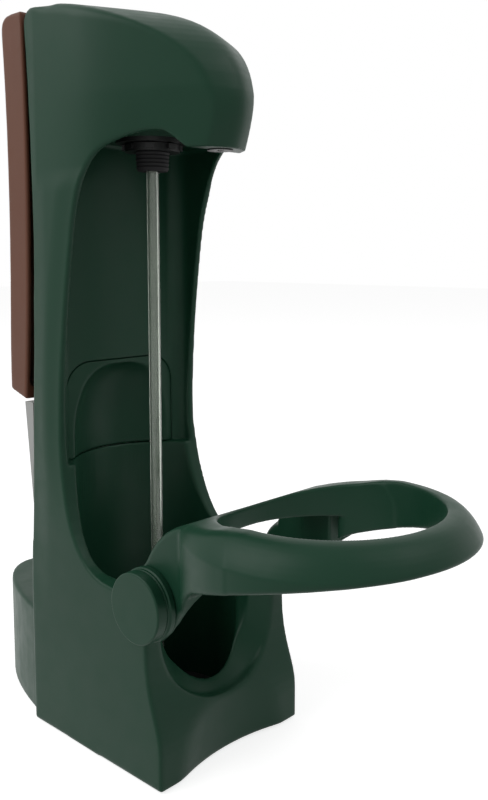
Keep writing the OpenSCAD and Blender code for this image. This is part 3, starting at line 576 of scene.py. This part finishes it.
# %% Side view of the housing
BLOCK_Z = 89.5
HEAD_Y = -62
FRONT_Y = -56
POST_Y = PIVOT_Y + 4.5
REAR_Y = 45
SKIRT_Z = UNDER_Z - 15
opening_edge = outline(
    (-20.7, BLOCK_Z),
    curve((-20.7, BLOCK_Z), (6, BLOCK_Z), (16, BLOCK_Z + 28.5), (19.5, BLOCK_Z + 62.5), 12),
    curve((19.5, BLOCK_Z + 62.5), (20.5, BLOCK_Z + 95), (14, UNDER_Z - 70),
          (9.3, UNDER_Z - 44), 8),
    curve((9.3, UNDER_Z - 44), (6.3, UNDER_Z - 28), (0, UNDER_Z - 11.5), (-10, UNDER_Z - 6.5), 8),
    curve((-10, UNDER_Z - 6.5), (-19, UNDER_Z - 2), (-33, UNDER_Z + 3), (-38, UNDER_Z - 2.5), 8),
    (-43.5, UNDER_Z - 8), (HEAD_Y + 5.5, UNDER_Z - 8))
nose = outline(
    curve((HEAD_Y + 5.5, UNDER_Z - 8), (HEAD_Y + 1.5, UNDER_Z + 1), (HEAD_Y - 2, UNDER_Z + 12),
          (HEAD_Y + 1.5, UNDER_Z + 21), 8),
    curve((HEAD_Y + 1.5, UNDER_Z + 21), (HEAD_Y + 6, UNDER_Z + 38.5), (-36, TOP_Z - 7),
          (0, TOP_Z - 1), 14),
    (34, TOP_Z))
side_view = outline(
    (FRONT_Y, FOOT_H), (FRONT_Y, 18),
    curve((FRONT_Y, 18), (FRONT_Y, 32), (POST_Y, 40), (POST_Y, BLOCK_Z - 24), 8),
    (POST_Y, BLOCK_Z - 6),
    curve((POST_Y, BLOCK_Z - 6), (POST_Y, BLOCK_Z - 2), (POST_Y + 2.5, BLOCK_Z),
          (POST_Y + 6.5, BLOCK_Z), 4),
    opening_edge, nose,
    curve((34, TOP_Z), (40, TOP_Z), (44, TOP_Z - 2), (44.3, TOP_Z - 7), 4),
    curve((44.3, TOP_Z - 7), (40.6, TOP_Z - 42), (38.6, BLOCK_Z + 142), (42.5, BLOCK_Z + 82), 10),
    (REAR_Y, BLOCK_Z), (REAR_Y, FOOT_H))
FAR = 900
beyond_edge = outline(opening_edge, (-FAR, UNDER_Z - 8), (-FAR, FAR), (FAR, FAR), (FAR, -FAR),
                      (-FAR, -FAR), (-FAR, BLOCK_Z))
nose_view = outline((-FAR, UNDER_Z - 8), (HEAD_Y + 5.5, UNDER_Z - 8), nose, (FAR, TOP_Z + 8),
                    (FAR, -FAR), (-FAR, -FAR))
print(f"side view with {len(side_view)} points")

# %% Half width of the housing
COLUMN_HALF = 44.7
HALF_AT = ((0, HALF_W), (BLOCK_Z, HALF_W), (200, 45.6), (251, COLUMN_HALF))
REAR_FALL, RIM_FALL = 1.3, 1.5
TIP_LOW, TIP_HIGH, TIP_RISE = 7, 12, 26
BOW_FALL, BOW_ROUND = 0.55, 6


def head_half(y, z):
    """Half width of the head: the column's at the bay's axis, narrowing forwards in a straight
    line to a tip that is 7 at the spout and 12 above it. The bend at the start is a little soft:
    (t + hypot(t, 0.2)) / 2 for t."""
    tip = TIP_LOW + (TIP_HIGH - TIP_LOW) * np.clip((z - UNDER_Z + 8) / TIP_RISE, 0, 1)
    t = (-2 - y) / (-2 - HEAD_Y)
    return COLUMN_HALF - (COLUMN_HALF - tip) * (t + np.hypot(t, 0.2)) / 2


def bow(x, y, z):
    """Distance from the nose and top of the head, which fall back like a ship's bow towards the
    sides: the nose's own outline, moved back at each x by 0.55 (hypot(x, 6) - 6). The outline's
    distances are worked out once, on rows 1 apart, and read between the rows."""
    rows = np.arange(-95.0, 85.0)
    table = from_outline(nose_view, rows[:, None], np.ravel(z))
    back = BOW_FALL * (np.hypot(x, BOW_ROUND) - BOW_ROUND)
    at = np.clip(y - back - rows[0], 0, len(rows) - 1.01)[..., 0]
    row = at.astype(int)
    share = (at - row)[..., None]
    return (table[row] * (1 - share) + table[row + 1] * share) * 0.9


def half_width(y, z):
    """Half width at each depth and height: 47 in the base and 44.7 above, less 1.3 towards the
    rear edge and 1.5 in a band beside the opening, and the head's own width inside the head."""
    w = np.interp(z, *zip(*HALF_AT))
    w = w - REAR_FALL * ramp(y, 27, 45) * ramp(z, 60, 120)
    beside = 1 - ramp(-from_outline(beyond_edge, y, z), 0, 14)
    w = w - RIM_FALL * beside * ramp(z, 100, 170) * (1 - ramp(-y, 8, 36))
    in_head = ramp(z, SKIRT_Z - 12, SKIRT_Z)
    return w * (1 - in_head) + np.minimum(w, head_half(y, z)) * in_head


# %% Hollows of the housing
TAIL_H = 58
WINDOW_Z, WINDOW_OUT, WINDOW_IN = BLOCK_Z - 20, 38.5, 30
WINDOW_FRONT, WINDOW_BACK, WINDOW_END = PIVOT_Y + 3.5, 4 - BAY_R, -27.4
SHOULDER_Z = BLOCK_Z + 61
DOME_TOP = SHOULDER_Z + 37
NICHE_Z = SHOULDER_Z - 10
NICHE_HALF, NICHE_BACK, NICHE_ROUND, NICHE_FRONT = 41.5, 27.5, 9, -30
NECK_R = NICHE_BACK - 1
CRADLE_HALF, CRADLE_ROUND = 35, 15
TOE_Z, TOE_R, TOE_CENTRE, TOE_LOSS = 34, 103.5, FRONT_Y - 98.1, 2.2
SHAFT_Y, SHAFT_Z = 30, 118.5
SPOUT_Y, SPOUT_R, SPOUT_DEPTH = -48, 4, 12
SOCKET_R, SOCKET_DEPTH = 12.3, 5
HUB_R = 17.3
ARM_ROOM_X = 41.7
WALL = 3
BAY_WALL = 1.9
SEAM = 0.3


def tail_plan():
    """Plan of the tail: half an ellipse whose sine is raised to the power 1.28."""
    t = np.linspace(0, np.pi, 37)
    lobe = np.stack([HALF_W * np.cos(t), 10 + (NOSE_Y - 10) * np.sin(t)**1.28], 1)
    return outline((-HALF_W, -10), (HALF_W, -10), lobe[1:-1])


def bay(x, y, z):
    """Distance from the round bay: a cylinder whose radius falls along a quarter ellipse above
    its shoulder."""
    lift = np.clip((z - SHOULDER_Z) / (DOME_TOP - SHOULDER_Z), 0, 0.999)
    r = NECK_R + (BAY_R - NECK_R) * np.sqrt(1 - lift**2)
    return np.maximum((np.hypot(x, y) - r) * np.where(lift > 0, 0.75, 1), z - DOME_TOP)


def window(x, y, z):
    """Distance from the front window: below its centre a cone, above it two upright walls."""
    q = np.where(z < WINDOW_Z, np.hypot(x, z - WINDOW_Z), x)
    r = np.interp(y, [WINDOW_FRONT, WINDOW_BACK], [WINDOW_OUT, WINDOW_IN])
    return common((q - r) * 0.9, y - WINDOW_END, z - BLOCK_Z - 20)


def niche(x, y, z):
    """Distance from the niche above the bay, closed above by the head's underside."""
    room = np.minimum(NICHE_HALF, head_half(y, z) - WALL)
    across = soft_max(x - room, y - NICHE_BACK, NICHE_ROUND)
    front = np.minimum(z - SKIRT_Z, NICHE_FRONT - y)
    return common(soft_max(across, z - UNDER_Z, 2), NICHE_Z - z, front)


def cradle_face(x, z, grow=0):
    """Distance from the cradle's outline on the niche's back wall, whose top corners are round."""
    return soft_max(x - CRADLE_HALF, z - DOME_TOP - 2, CRADLE_ROUND) - grow


def head_room(x, y, z):
    """Distance from the hollow of the head: 3 inside the outline, above the underside's wall."""
    floor = np.minimum(UNDER_Z + WALL - z, np.maximum(y + 31, UNDER_Z - 8 - z))
    return common(from_outline(side_view, y, z) + WALL, x - head_half(y, z) + 1.2 * WALL,
                  bow(x, y, z) + WALL, floor)


# %% The housing's formula


def housing(x, y, z):
    """Distance from the housing: body and tail joined, and the hollows cut out one by one. The
    edges are rounder towards the top of the head, and sharp again where the lever meets it."""
    front = np.maximum(from_outline(side_view, y, z), bow(x, y, z))
    crown = ramp(y, -30, 10) * ramp(z, TOP_Z - 33, TOP_Z - 13)
    soft = 0.6 * ramp(z, UNDER_Z, TOP_Z - 20) + 3 * crown
    outer = soft_max(front, (x - half_width(y, z)) * 0.9, 0.8 + soft * (1 - ramp(y, 24, 38)))
    tail = soft_max(from_outline(tail_plan(), x, y), z - TAIL_H, 1.3)
    solid = common(np.minimum(outer, tail), FOOT_H - z)
    toes = np.maximum(np.hypot(x, y - TOE_CENTRE) - TOE_R + TOE_LOSS * z / TOE_Z, z - TOE_Z)
    shaft = common(x - (COLUMN_HALF - WALL), SHAFT_Y - y, SHAFT_Z - z, z - (TOP_Z - WALL),
                   BAY_WALL - bay(x, y, z))
    hub = np.maximum(np.hypot(y - PIVOT_Y, z - PIVOT_Z) - HUB_R - 0.4, ARM_ROOM_X - x)
    seat = common(cradle_face(x, z, SEAM), NICHE_Z - SEAM - z, NICHE_BACK - 0.1 - y)
    for hollow, edge in ((toes, 1.5), (niche(x, y, z), 1.2), (bay(x, y, z), 1.0),
                         (window(x, y, z), 1.4), (hub, 0.4), (shaft, 0.8), (seat, 0.3),
                         (head_room(x, y, z), 0.3)):
        solid = cut(solid, hollow, edge)
    spout = common(np.hypot(x, y - SPOUT_Y) - SPOUT_R, np.abs(z - UNDER_Z) - SPOUT_DEPTH)
    socket = common(np.hypot(x, y) - SOCKET_R, np.abs(z - UNDER_Z) - SOCKET_DEPTH)
    return common(cut(cut(solid, spout, 0.5), socket, 0.3), FOOT_H - z)


# %% Make the housing
own(carve("housing", housing, shell_low, shell_high, 1.0, 190000),
    "housing", "green_shell", green, "body_shell")

# %% [markdown]
# ## The cradle
# A separate moulding closes the niche's back above the bay and is hollowed to the bay's form. A
# thin seam round it is what tells it from the housing.

# %% Make the cradle
FLANGE_Y, FLANGE_END, FLANGE_WIDE, FLANGE_GAP = NICHE_BACK + 2.5, NICHE_BACK + 4.1, 5, 2.2


def cradle(x, y, z):
    """Distance from the cradle: a flush plate and a dome behind it, a flange, and the hollow."""
    face = np.maximum(cradle_face(x, z), NICHE_Z - z)
    dome = bay(x, y, z)
    plate = common(face, NICHE_BACK - y, np.minimum(y - FLANGE_Y, dome - BAY_WALL))
    flange = common(face - FLANGE_WIDE, FLANGE_Y - y, y - FLANGE_END, FLANGE_GAP - dome)
    return cut(soft_min(plate, flange, 0.2), dome, 0.8)


own(carve("cradle", cradle, *corners("bottle_cradle"), 0.8, 60000),
    "housing", "green_shell", green, "bottle_cradle")

# %% [markdown]
# ## The ring and its knobs
# The ring and its two arms are one moulding too. In plan the arms flare from the hubs to the
# ring's width, and seen from the side they swell over the hub and thin out to the ring. The
# formula is the same kind as the housing's: ring and arms joined, then trimmed to the side view.

# %% Outlines of the ring
HOLE_R = 49
ARM_T = 4.8
GUTTER_INNER, GUTTER_OUTER, GUTTER_ROOF, GUTTER_END = HOLE_R + 2.6, RING_R - 3, RING_TOP - 9, 34
WEB_TOP = RING_TOP - 21
STUD_ROOM = 2.6
ring_section = outline(
    (HOLE_R, 60), (HOLE_R, RING_TOP),
    (HOLE_R + 2, RING_TOP),
    curve((HOLE_R + 2, RING_TOP), (HOLE_R + 8, RING_TOP), (RING_R - 3, RING_TOP - 5),
          (RING_R, RING_TOP - 12.5), 8),
    (RING_R, 60))
hub_back = (PIVOT_Y + 0.32 * HUB_R, PIVOT_Z + 0.94 * HUB_R)
arm_view = outline(
    hub_back,
    curve(hub_back, (PIVOT_Y - 6, RING_TOP - 11), (PIVOT_Y - 18, RING_TOP - 8),
          (RING_Y + 20, RING_TOP - 4), 8),
    (RING_Y, RING_TOP + 0.5), (RING_Y - RING_R - 9, RING_TOP + 0.5),
    (RING_Y - RING_R - 9, RING_TOP - 12),
    curve((RING_Y - RING_R - 9, RING_TOP - 12), (RING_Y - 30, RING_TOP - 14),
          (RING_Y, RING_TOP - 23), (RING_Y + 20, RING_TOP - 29), 10),
    curve((RING_Y + 20, RING_TOP - 29), (RING_Y + 29, RING_TOP - 31),
          (PIVOT_Y - 23, PIVOT_Z + 6), (PIVOT_Y - 0.8 * HUB_R, PIVOT_Z - 0.4 * HUB_R), 6),
    (PIVOT_Y, PIVOT_Z))
flare = outline((HALF_W, PIVOT_Y - 18), curve((HALF_W, PIVOT_Y - 18), (HALF_W + 1, PIVOT_Y - 30),
                                              (RING_R - 3, RING_Y + 26), (RING_R, RING_Y), 8))
arm_plan = outline((HALF_W, 20), flare, flare[::-1] * [-1, 1], (-HALF_W, 20))
print(f"ring section {len(ring_section)}, arm view {len(arm_view)},"
      f" arm plan {len(arm_plan)} points")

# %% Make the ring


def yoke(x, y, z):
    """Distance from the ring and arms: the ring's section turned about its axis, and the same
    section run along the arms' plan, joined, trimmed to the side view and hollowed below."""
    r = np.hypot(x, y - RING_Y)
    hub = np.hypot(y - PIVOT_Y, z - PIVOT_Z) - HUB_R + 0.6 * np.clip(HALF_W - x, 0, 6)
    along = RING_R + from_outline(arm_plan, x, y) * np.ones_like(z)
    arms = cut(from_outline(ring_section, np.maximum(along, HOLE_R + 3), z * np.ones_like(along)),
               np.maximum(x - HALF_W + ARM_T, PIVOT_Y - 12 - y), 0.8)
    solid = soft_min(from_outline(ring_section, r, z), arms, 0.8)
    solid = soft_max(solid, soft_min(from_outline(arm_view, y, z), hub, 1.5), 2.2)
    gutter = common(GUTTER_INNER - r, r - GUTTER_OUTER, z - GUTTER_ROOF + 0.35 * (r - HOLE_R),
                    y - RING_Y - GUTTER_END)
    between = common(x - HALF_W + ARM_T, RING_Y - y, z - WEB_TOP)
    solid = cut(cut(solid, gutter, 0.5), between, 0.8)
    solid = soft_max(solid, HOLE_R - r, 1.2)
    return cut(solid, np.hypot(y - PIVOT_Y, z - PIVOT_Z) - STUD_ROOM, 0.2)


own(carve("glass_ring", yoke, yoke_low, yoke_high, 0.8, 150000),
    "yoke", "green_shell", green, "glass_yoke")

# %% Make the knobs
KNOB_R = 16.2
KNOB_END = corners("knob_right")[1][0]
knob_profile = [(0, HALF_W + SEAM), (KNOB_R + 0.7, HALF_W + SEAM), (KNOB_R + 0.7, HALF_W + 2.9),
                (KNOB_R, HALF_W + 3.3), (KNOB_R, HALF_W + 4.2), (KNOB_R - 0.7, HALF_W + 4.6),
                (KNOB_R, HALF_W + 5), (KNOB_R, KNOB_END), (0, KNOB_END)]
for side, body in ((1, "right_knob"), (-1, "left_knob")):
    knob = turned(body, knob_profile, (0, PIVOT_Y, PIVOT_Z), (side, 0, 0),
                  radius=[0, 0.5, 0.4, 0.3, 0.3, 0.3, 0.3, 0.9, 0])
    own(knob, body, "green_shell", green, "knob_" + body.split("_")[0])

# %% [markdown]
# ## The lever
# A brown channel, open towards the column and hinged at its top. It is trimmed from its side
# view and its plan, whose rear corners are round, and the inside is the same shape a wall in.

# %% Make the lever
LEVER_Z, LEVER_REACH, LEVER_WALL, LEVER_ROUND = lever_low[2], lever_high[1], 2.6, 4
PIN_Y, PIN_Z, PIN_R, BOSS_R, BOSS_X = LEVER_REACH - 15, TOP_Z - 15, 2, 4.5, 33
PAD_SEAT_R, SPRING_SEAT_R = 16, 8
BELLOWS_Z = sum(c[2] for c in corners("push_pad")) / 2
SPRING_Z = BELLOWS_Z - 43
lever_rear = outline(
    (LEVER_REACH - 11, TOP_Z - 0.5),
    curve((LEVER_REACH - 11, TOP_Z - 0.5), (LEVER_REACH - 5, TOP_Z - 0.5),
          (LEVER_REACH - 2.2, TOP_Z - 3), (LEVER_REACH - 2.4, TOP_Z - 9), 5),
    curve((LEVER_REACH - 2.4, TOP_Z - 9), (LEVER_REACH - 6, TOP_Z - 52),
          (LEVER_REACH - 6, LEVER_Z + 65), (LEVER_REACH, LEVER_Z + 5), 10))
lever_view = outline(
    (LEVER_REACH - 16, LEVER_Z),
    curve((LEVER_REACH - 16, LEVER_Z), (45.6, LEVER_Z + 50), (42.6, TOP_Z - 80),
          (45.7, TOP_Z - 10), 8),
    (46.2, TOP_Z - 0.5), lever_rear)
lever_inner = outline((0, LEVER_Z), (0, TOP_Z - 0.5), lever_rear)


def lever(x, y, z):
    """Distance from the lever: its outer form, less the inner one, with the bosses inside."""
    plan = soft_max(x - LEVER_HALF, y - LEVER_REACH, LEVER_ROUND)
    outer = soft_max(from_outline(lever_view, y, z), plan, 1.0)
    inner = soft_max(from_outline(lever_inner, y, z) + LEVER_WALL, x - LEVER_HALF + LEVER_WALL, 3)
    solid = cut(outer, inner, 0.5)
    from_pin = np.hypot(y - PIN_Y, z - PIN_Z)
    pad = common(np.hypot(x, z - BELLOWS_Z) - PAD_SEAT_R, LEVER_REACH - 8.6 - y,
                 y - LEVER_REACH + 6)
    seat = common(np.hypot(x, z - SPRING_Z) - SPRING_SEAT_R, LEVER_REACH - 7 - y,
                  y - LEVER_REACH + 4.5)
    bosses = common(from_pin - BOSS_R, BOSS_X - x, x - LEVER_HALF + 0.5)
    for boss in (pad, seat, bosses):
        solid = soft_min(solid, boss, 0.8)
    return cut(solid, common(from_pin - PIN_R, x - LEVER_HALF + 3), 0.2)


own(carve("lever", lever, lever_low, lever_high, 0.8, 120000),
    "lever", "brown_lever", brown, "pump_lever")

# %% [markdown]
# ## Feet, pads and seals
# These are soft rubber, so each gets rounded lips and shallow ribs that a hard part lacks.

# %% Feet and pads
foot_places = [(side * x, y) for x, y in ((HALF_W - 9, FRONT_Y + 10), (HALF_W - 9.5, 33.5))
               for side in (1, -1)] + [(0, NOSE_Y - 15)]
FOOT_R = 7
foot_profile = [(0, 0.25), (2.6, 0.25), (3.2, 0), (FOOT_R - 0.3, 0), (FOOT_R, FOOT_H),
                (0, FOOT_H)]
feet = [turned(f"foot_{i}", foot_profile, (x, y, 0), (0, 0, 1), radius=0.35, around=48)
        for i, (x, y) in enumerate(foot_places, 1)]
own(feet[0], "housing", "black_rubber", rubber, "rubber_feet")
for foot in feet[1:]:
    own(foot, "housing", "black_rubber", rubber)

DRAIN_R = 8
pad_rings = [(r + d, pad_high[2] - h) for r in range(14, 38, 5) for d, h in
             ((-0.8, 0), (-0.4, 0.5), (0.4, 0.5), (0.8, 0))]
pad_profile = [(DRAIN_R, pad_low[2]), (pad_high[0], pad_low[2]), (pad_high[0], pad_high[2])] \
    + pad_rings[::-1] + [(DRAIN_R, pad_high[2])]
own(turned("bottle_pad_ribbed", pad_profile, (0, 0, 0), (0, 0, 1), radius=0.25, around=128,
           closed=True), "housing", "black_rubber", rubber, "bottle_pad")

push_low, push_high = corners("push_pad")
push_profile = [(0, push_low[1] + 0.3), (3, push_low[1] + 0.3), (3.6, push_low[1]),
                (13.5, push_low[1]), (14, push_high[1]), (0, push_high[1])]
own(turned("push_pad_soft", push_profile, (0, 0, BELLOWS_Z), (0, 1, 0), radius=0.3),
    "lever", "black_rubber", rubber, "push_pad")

# %% Seal, plug and valve
seal_low, seal_high = corners("stopper_seal")
seal_r, seal_mid = (seal_high[2] - seal_low[2]) / 2, (seal_low[2] + seal_high[2]) / 2
angle = np.linspace(0, 2 * np.pi, 24, endpoint=False)
seal_profile = np.stack([seal_high[0] - seal_r + seal_r * np.cos(angle),
                         seal_r * np.sin(angle)], 1)
own(turned("seal_ring", seal_profile, (0, 0, seal_mid), (0, 0, 1), radius=0, closed=True),
    "stopper", "black_rubber", rubber, "stopper_seal")

plug_low, plug_high = corners("stopper_plug")
plug_r, plug_h = plug_high[0], plug_high[2] - plug_low[2]
ribs = [(plug_r - 1.2 + 0.1 * i + b, plug_h * (0.18 + 0.2 * i) + d) for i in range(4)
        for b, d in ((0, -0.7), (0.35, 0), (0, 0.7))]
PLUG_BORE = 3
plug_profile = [(PLUG_BORE, 0), (plug_r - 1.6, 0)] + ribs + [(plug_r, plug_h), (PLUG_BORE, plug_h)]
own(turned("plug_ribbed", plug_profile, (0, 0, plug_low[2]), (0, 0, 1), radius=0.4, closed=True),
    "stopper", "black_rubber", rubber, "stopper_plug")

valve_low, valve_high = corners("intake_valve")
PLATE_FRONT, PLATE_BACK = 34, 36.5
valve_profile = [(0, valve_low[1]), (2.4, valve_low[1]), (2.0, PLATE_FRONT - 0.1),
                 (1.3, PLATE_FRONT - 0.05), (1.3, PLATE_BACK), (5.7, PLATE_BACK),
                 (6, PLATE_BACK + 0.3), (4, valve_high[1] - 0.15), (0, valve_high[1])]
own(turned("umbrella_valve", valve_profile, (0, 0, BELLOWS_Z), (0, 1, 0), radius=0.25, around=48),
    "housing", "black_rubber", rubber, "intake_valve")

# %% [markdown]
# ## Bellows, spring and hoses
# They sit inside, behind the lever. The bellows and the spring shorten as the lever comes in.

# %% Bellows
bellows_low, bellows_high = corners("bellows")
B_LEN = bellows_high[1] - bellows_low[1]
FOLD_R, FLANGE_R, FOLDS = bellows_high[0] - 2, bellows_high[0], 4
turns = np.linspace(0, 2 * np.pi * FOLDS, 20 * FOLDS + 1)
SKIN_T = 1.2
wave = np.stack([FOLD_R - 2.5 - 2.5 * np.cos(turns), 1.3 + turns / turns[-1] * (B_LEN - 2.7)], 1)
bellows_profile = outline(
    (FOLD_R - 8, 0), (FLANGE_R, 0), (FLANGE_R, SKIN_T), (FOLD_R - 4.8, 1.25), wave,
    (FOLD_R - 6.5, B_LEN), (0, B_LEN), (0, B_LEN - SKIN_T), (FOLD_R - 6.5, B_LEN - SKIN_T),
    (wave - [1.4, 0])[::-1][1:-1], (FOLD_R - 8, 1.3))
own(turned("bellows_folded", bellows_profile, (0, bellows_low[1], BELLOWS_Z), (0, 1, 0),
           radius=0.15, closed=True), "housing", "black_rubber", rubber, "bellows")

# %% Spring
spring_low, spring_high = corners("return_spring")
SPRING_LEN = spring_high[1] - spring_low[1]
WIRE_R, CURLS = 0.6, 6
COIL_R = (spring_high[2] - spring_low[2]) / 2 - WIRE_R
t = np.linspace(0, 1, 28 * CURLS + 1)
coil_turn = np.pi / 2 - 2 * np.pi * CURLS * t
coil = np.stack([COIL_R * np.cos(coil_turn),
                 spring_low[1] + WIRE_R + t * (SPRING_LEN - 2 * WIRE_R),
                 SPRING_Z + COIL_R * np.sin(coil_turn)], 1)
own(swept("coil_spring", coil, WIRE_R, side=(0, 1, 0), around=10), "housing", "steel", steel,
    "return_spring")

# %% Hoses


def over(x, y0, y1, z0, z1, bend_r, top, n=14):
    """A hose's path in the plane x: up, a quarter turn, level, a quarter turn, and down."""
    a = np.linspace(0, np.pi / 2, n)
    s = np.sign(y1 - y0)
    up = np.stack([y0 + s * bend_r * (1 - np.cos(a)), top - bend_r + bend_r * np.sin(a)], 1)
    down = np.stack([y1 - s * bend_r * (1 - np.sin(a)), top - bend_r + bend_r * np.cos(a)], 1)
    path = outline((y0, z0), up, down, (y1, z1))
    return np.column_stack([np.full(len(path), x), path])


hose_low, hose_high = corners("delivery_hose")
air_low, air_high = corners("air_hose")
hose_r, air_r, HOSE_BEND = hose_high[0], (air_high[0] - air_low[0]) / 2, 10.5
spout_y = hose_low[1] + hose_r
BARB_TOP, HOSE_END = socket_high[2], UNDER_Z + 12
AIR_X, AIR_Y = 8, 42.5
drink_path = over(0, 0, spout_y, BARB_TOP, HOSE_END, HOSE_BEND, hose_high[2] - hose_r)
air_path = over(AIR_X, 0, AIR_Y, BARB_TOP, HOSE_END, HOSE_BEND, air_high[2] - air_r)
for name, path, outer_r, bore_r, node in (
        ("drink_hose", drink_path, hose_r, 2.6, "delivery_hose"),
        ("air_tube", air_path, air_r, 2, "air_hose")):
    own(swept(name, path, outer_r, bore_r), "housing", "clear_tube", clear, node)
tube_r, tube_len = (tube_high.x - tube_low.x) / 2 / MM, (tube_high.z - tube_low.z) / MM
tube_profile = [(tube_r - 1, 0), (tube_r, 0), (tube_r, tube_len), (tube_r - 1, tube_len)]
own(turned("dip_tube_clear", tube_profile, (0, 0, tube_low.z / MM), (0, 0, 1), radius=0.3,
           around=48, closed=True), "stopper", "clear_tube", clear, "dip_tube")

# %% Soft pieces get meshes of their own
for name, length, z in (("bellows_folded", B_LEN, BELLOWS_Z),
                        ("coil_spring", SPRING_LEN, SPRING_Z)):
    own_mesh(bpy.data.objects[name])

# %% [markdown]
# ## Floor, light and background
# A pale floor takes the shadow. The camera, glossy surfaces and clear pieces see it as almost
# white, and the world as white. The main soft box stands behind on the left, so that the side is
# lit and the head's slanting flank is a little darker, and a weak one stands high in front.

# %% Floor


def white_for(tree):
    """1 for the camera's own rays and for those that glossy and clear surfaces send on, else 0."""
    seen = add(tree, "LightPath")
    sharp = add(tree, "Math", {"operation": "MAXIMUM"}, i0=seen.outputs["Is Camera Ray"],
                i1=seen.outputs["Is Glossy Ray"])
    return add(tree, "Math", {"operation": "MAXIMUM"}, i0=sharp.outputs[0],
               i1=seen.outputs["Is Transmission Ray"]).outputs[0]


floor = link("floor", bpy.data.meshes.new("floor"))
WIDE = 6
floor.data.from_pydata([(-WIDE, -WIDE, 0), (WIDE, -WIDE, 0), (WIDE, WIDE, 0), (-WIDE, WIDE, 0)],
                       [], [(0, 1, 2, 3)])
pale = bpy.data.materials.new("pale_floor")
pale.use_nodes = True
tree = pale.node_tree
tree.nodes.clear()
matte = add(tree, "BsdfDiffuse", Color=(0.6, 0.6, 0.6, 1))
glow = add(tree, "Emission", Color=(0.76, 0.76, 0.76, 1), Strength=1.0)
both = add(tree, "AddShader", i0=matte.outputs[0], i1=glow.outputs[0])
plain = add(tree, "BsdfDiffuse", Color=(0.75, 0.75, 0.75, 1))
pick = add(tree, "MixShader", i0=white_for(tree), i1=plain.outputs[0], i2=both.outputs[0])
out = tree.nodes.new("ShaderNodeOutputMaterial")
tree.links.new(pick.outputs[0], out.inputs["Surface"])
floor.data.materials.append(pale)

# %% World and lamps
world = bpy.data.worlds.new("studio")
bpy.context.scene.world = world
world.use_nodes = True
tree = world.node_tree
tree.nodes.clear()
room = add(tree, "Background", Color=(1, 1, 1, 1), Strength=0.34)
white = add(tree, "Background", Color=(1, 1, 1, 1), Strength=1.0)
pick = add(tree, "MixShader", i0=white_for(tree), i1=room.outputs[0], i2=white.outputs[0])
out = tree.nodes.new("ShaderNodeOutputWorld")
tree.links.new(pick.outputs[0], out.inputs["Surface"])


def lamp(name, at, towards, size, watts):
    """A square soft box that faces a point."""
    data = bpy.data.lights.new(name, "AREA")
    data.size = size
    data.energy = watts
    box = bpy.data.objects.new(name, data)
    box.location = at
    box.rotation_euler = (Vector(towards) - Vector(at)).to_track_quat("-Z", "Y").to_euler()
    bpy.context.scene.collection.objects.link(box)


lamp("key", (-1.33, 0.66, 1.38), (0, 0, 0.2), 1.5, 21)
lamp("fill", (0.7, -1.3, 2.0), (0, 0, 0.2), 1.4, 9)
bpy.context.scene.view_settings.view_transform = "Standard"
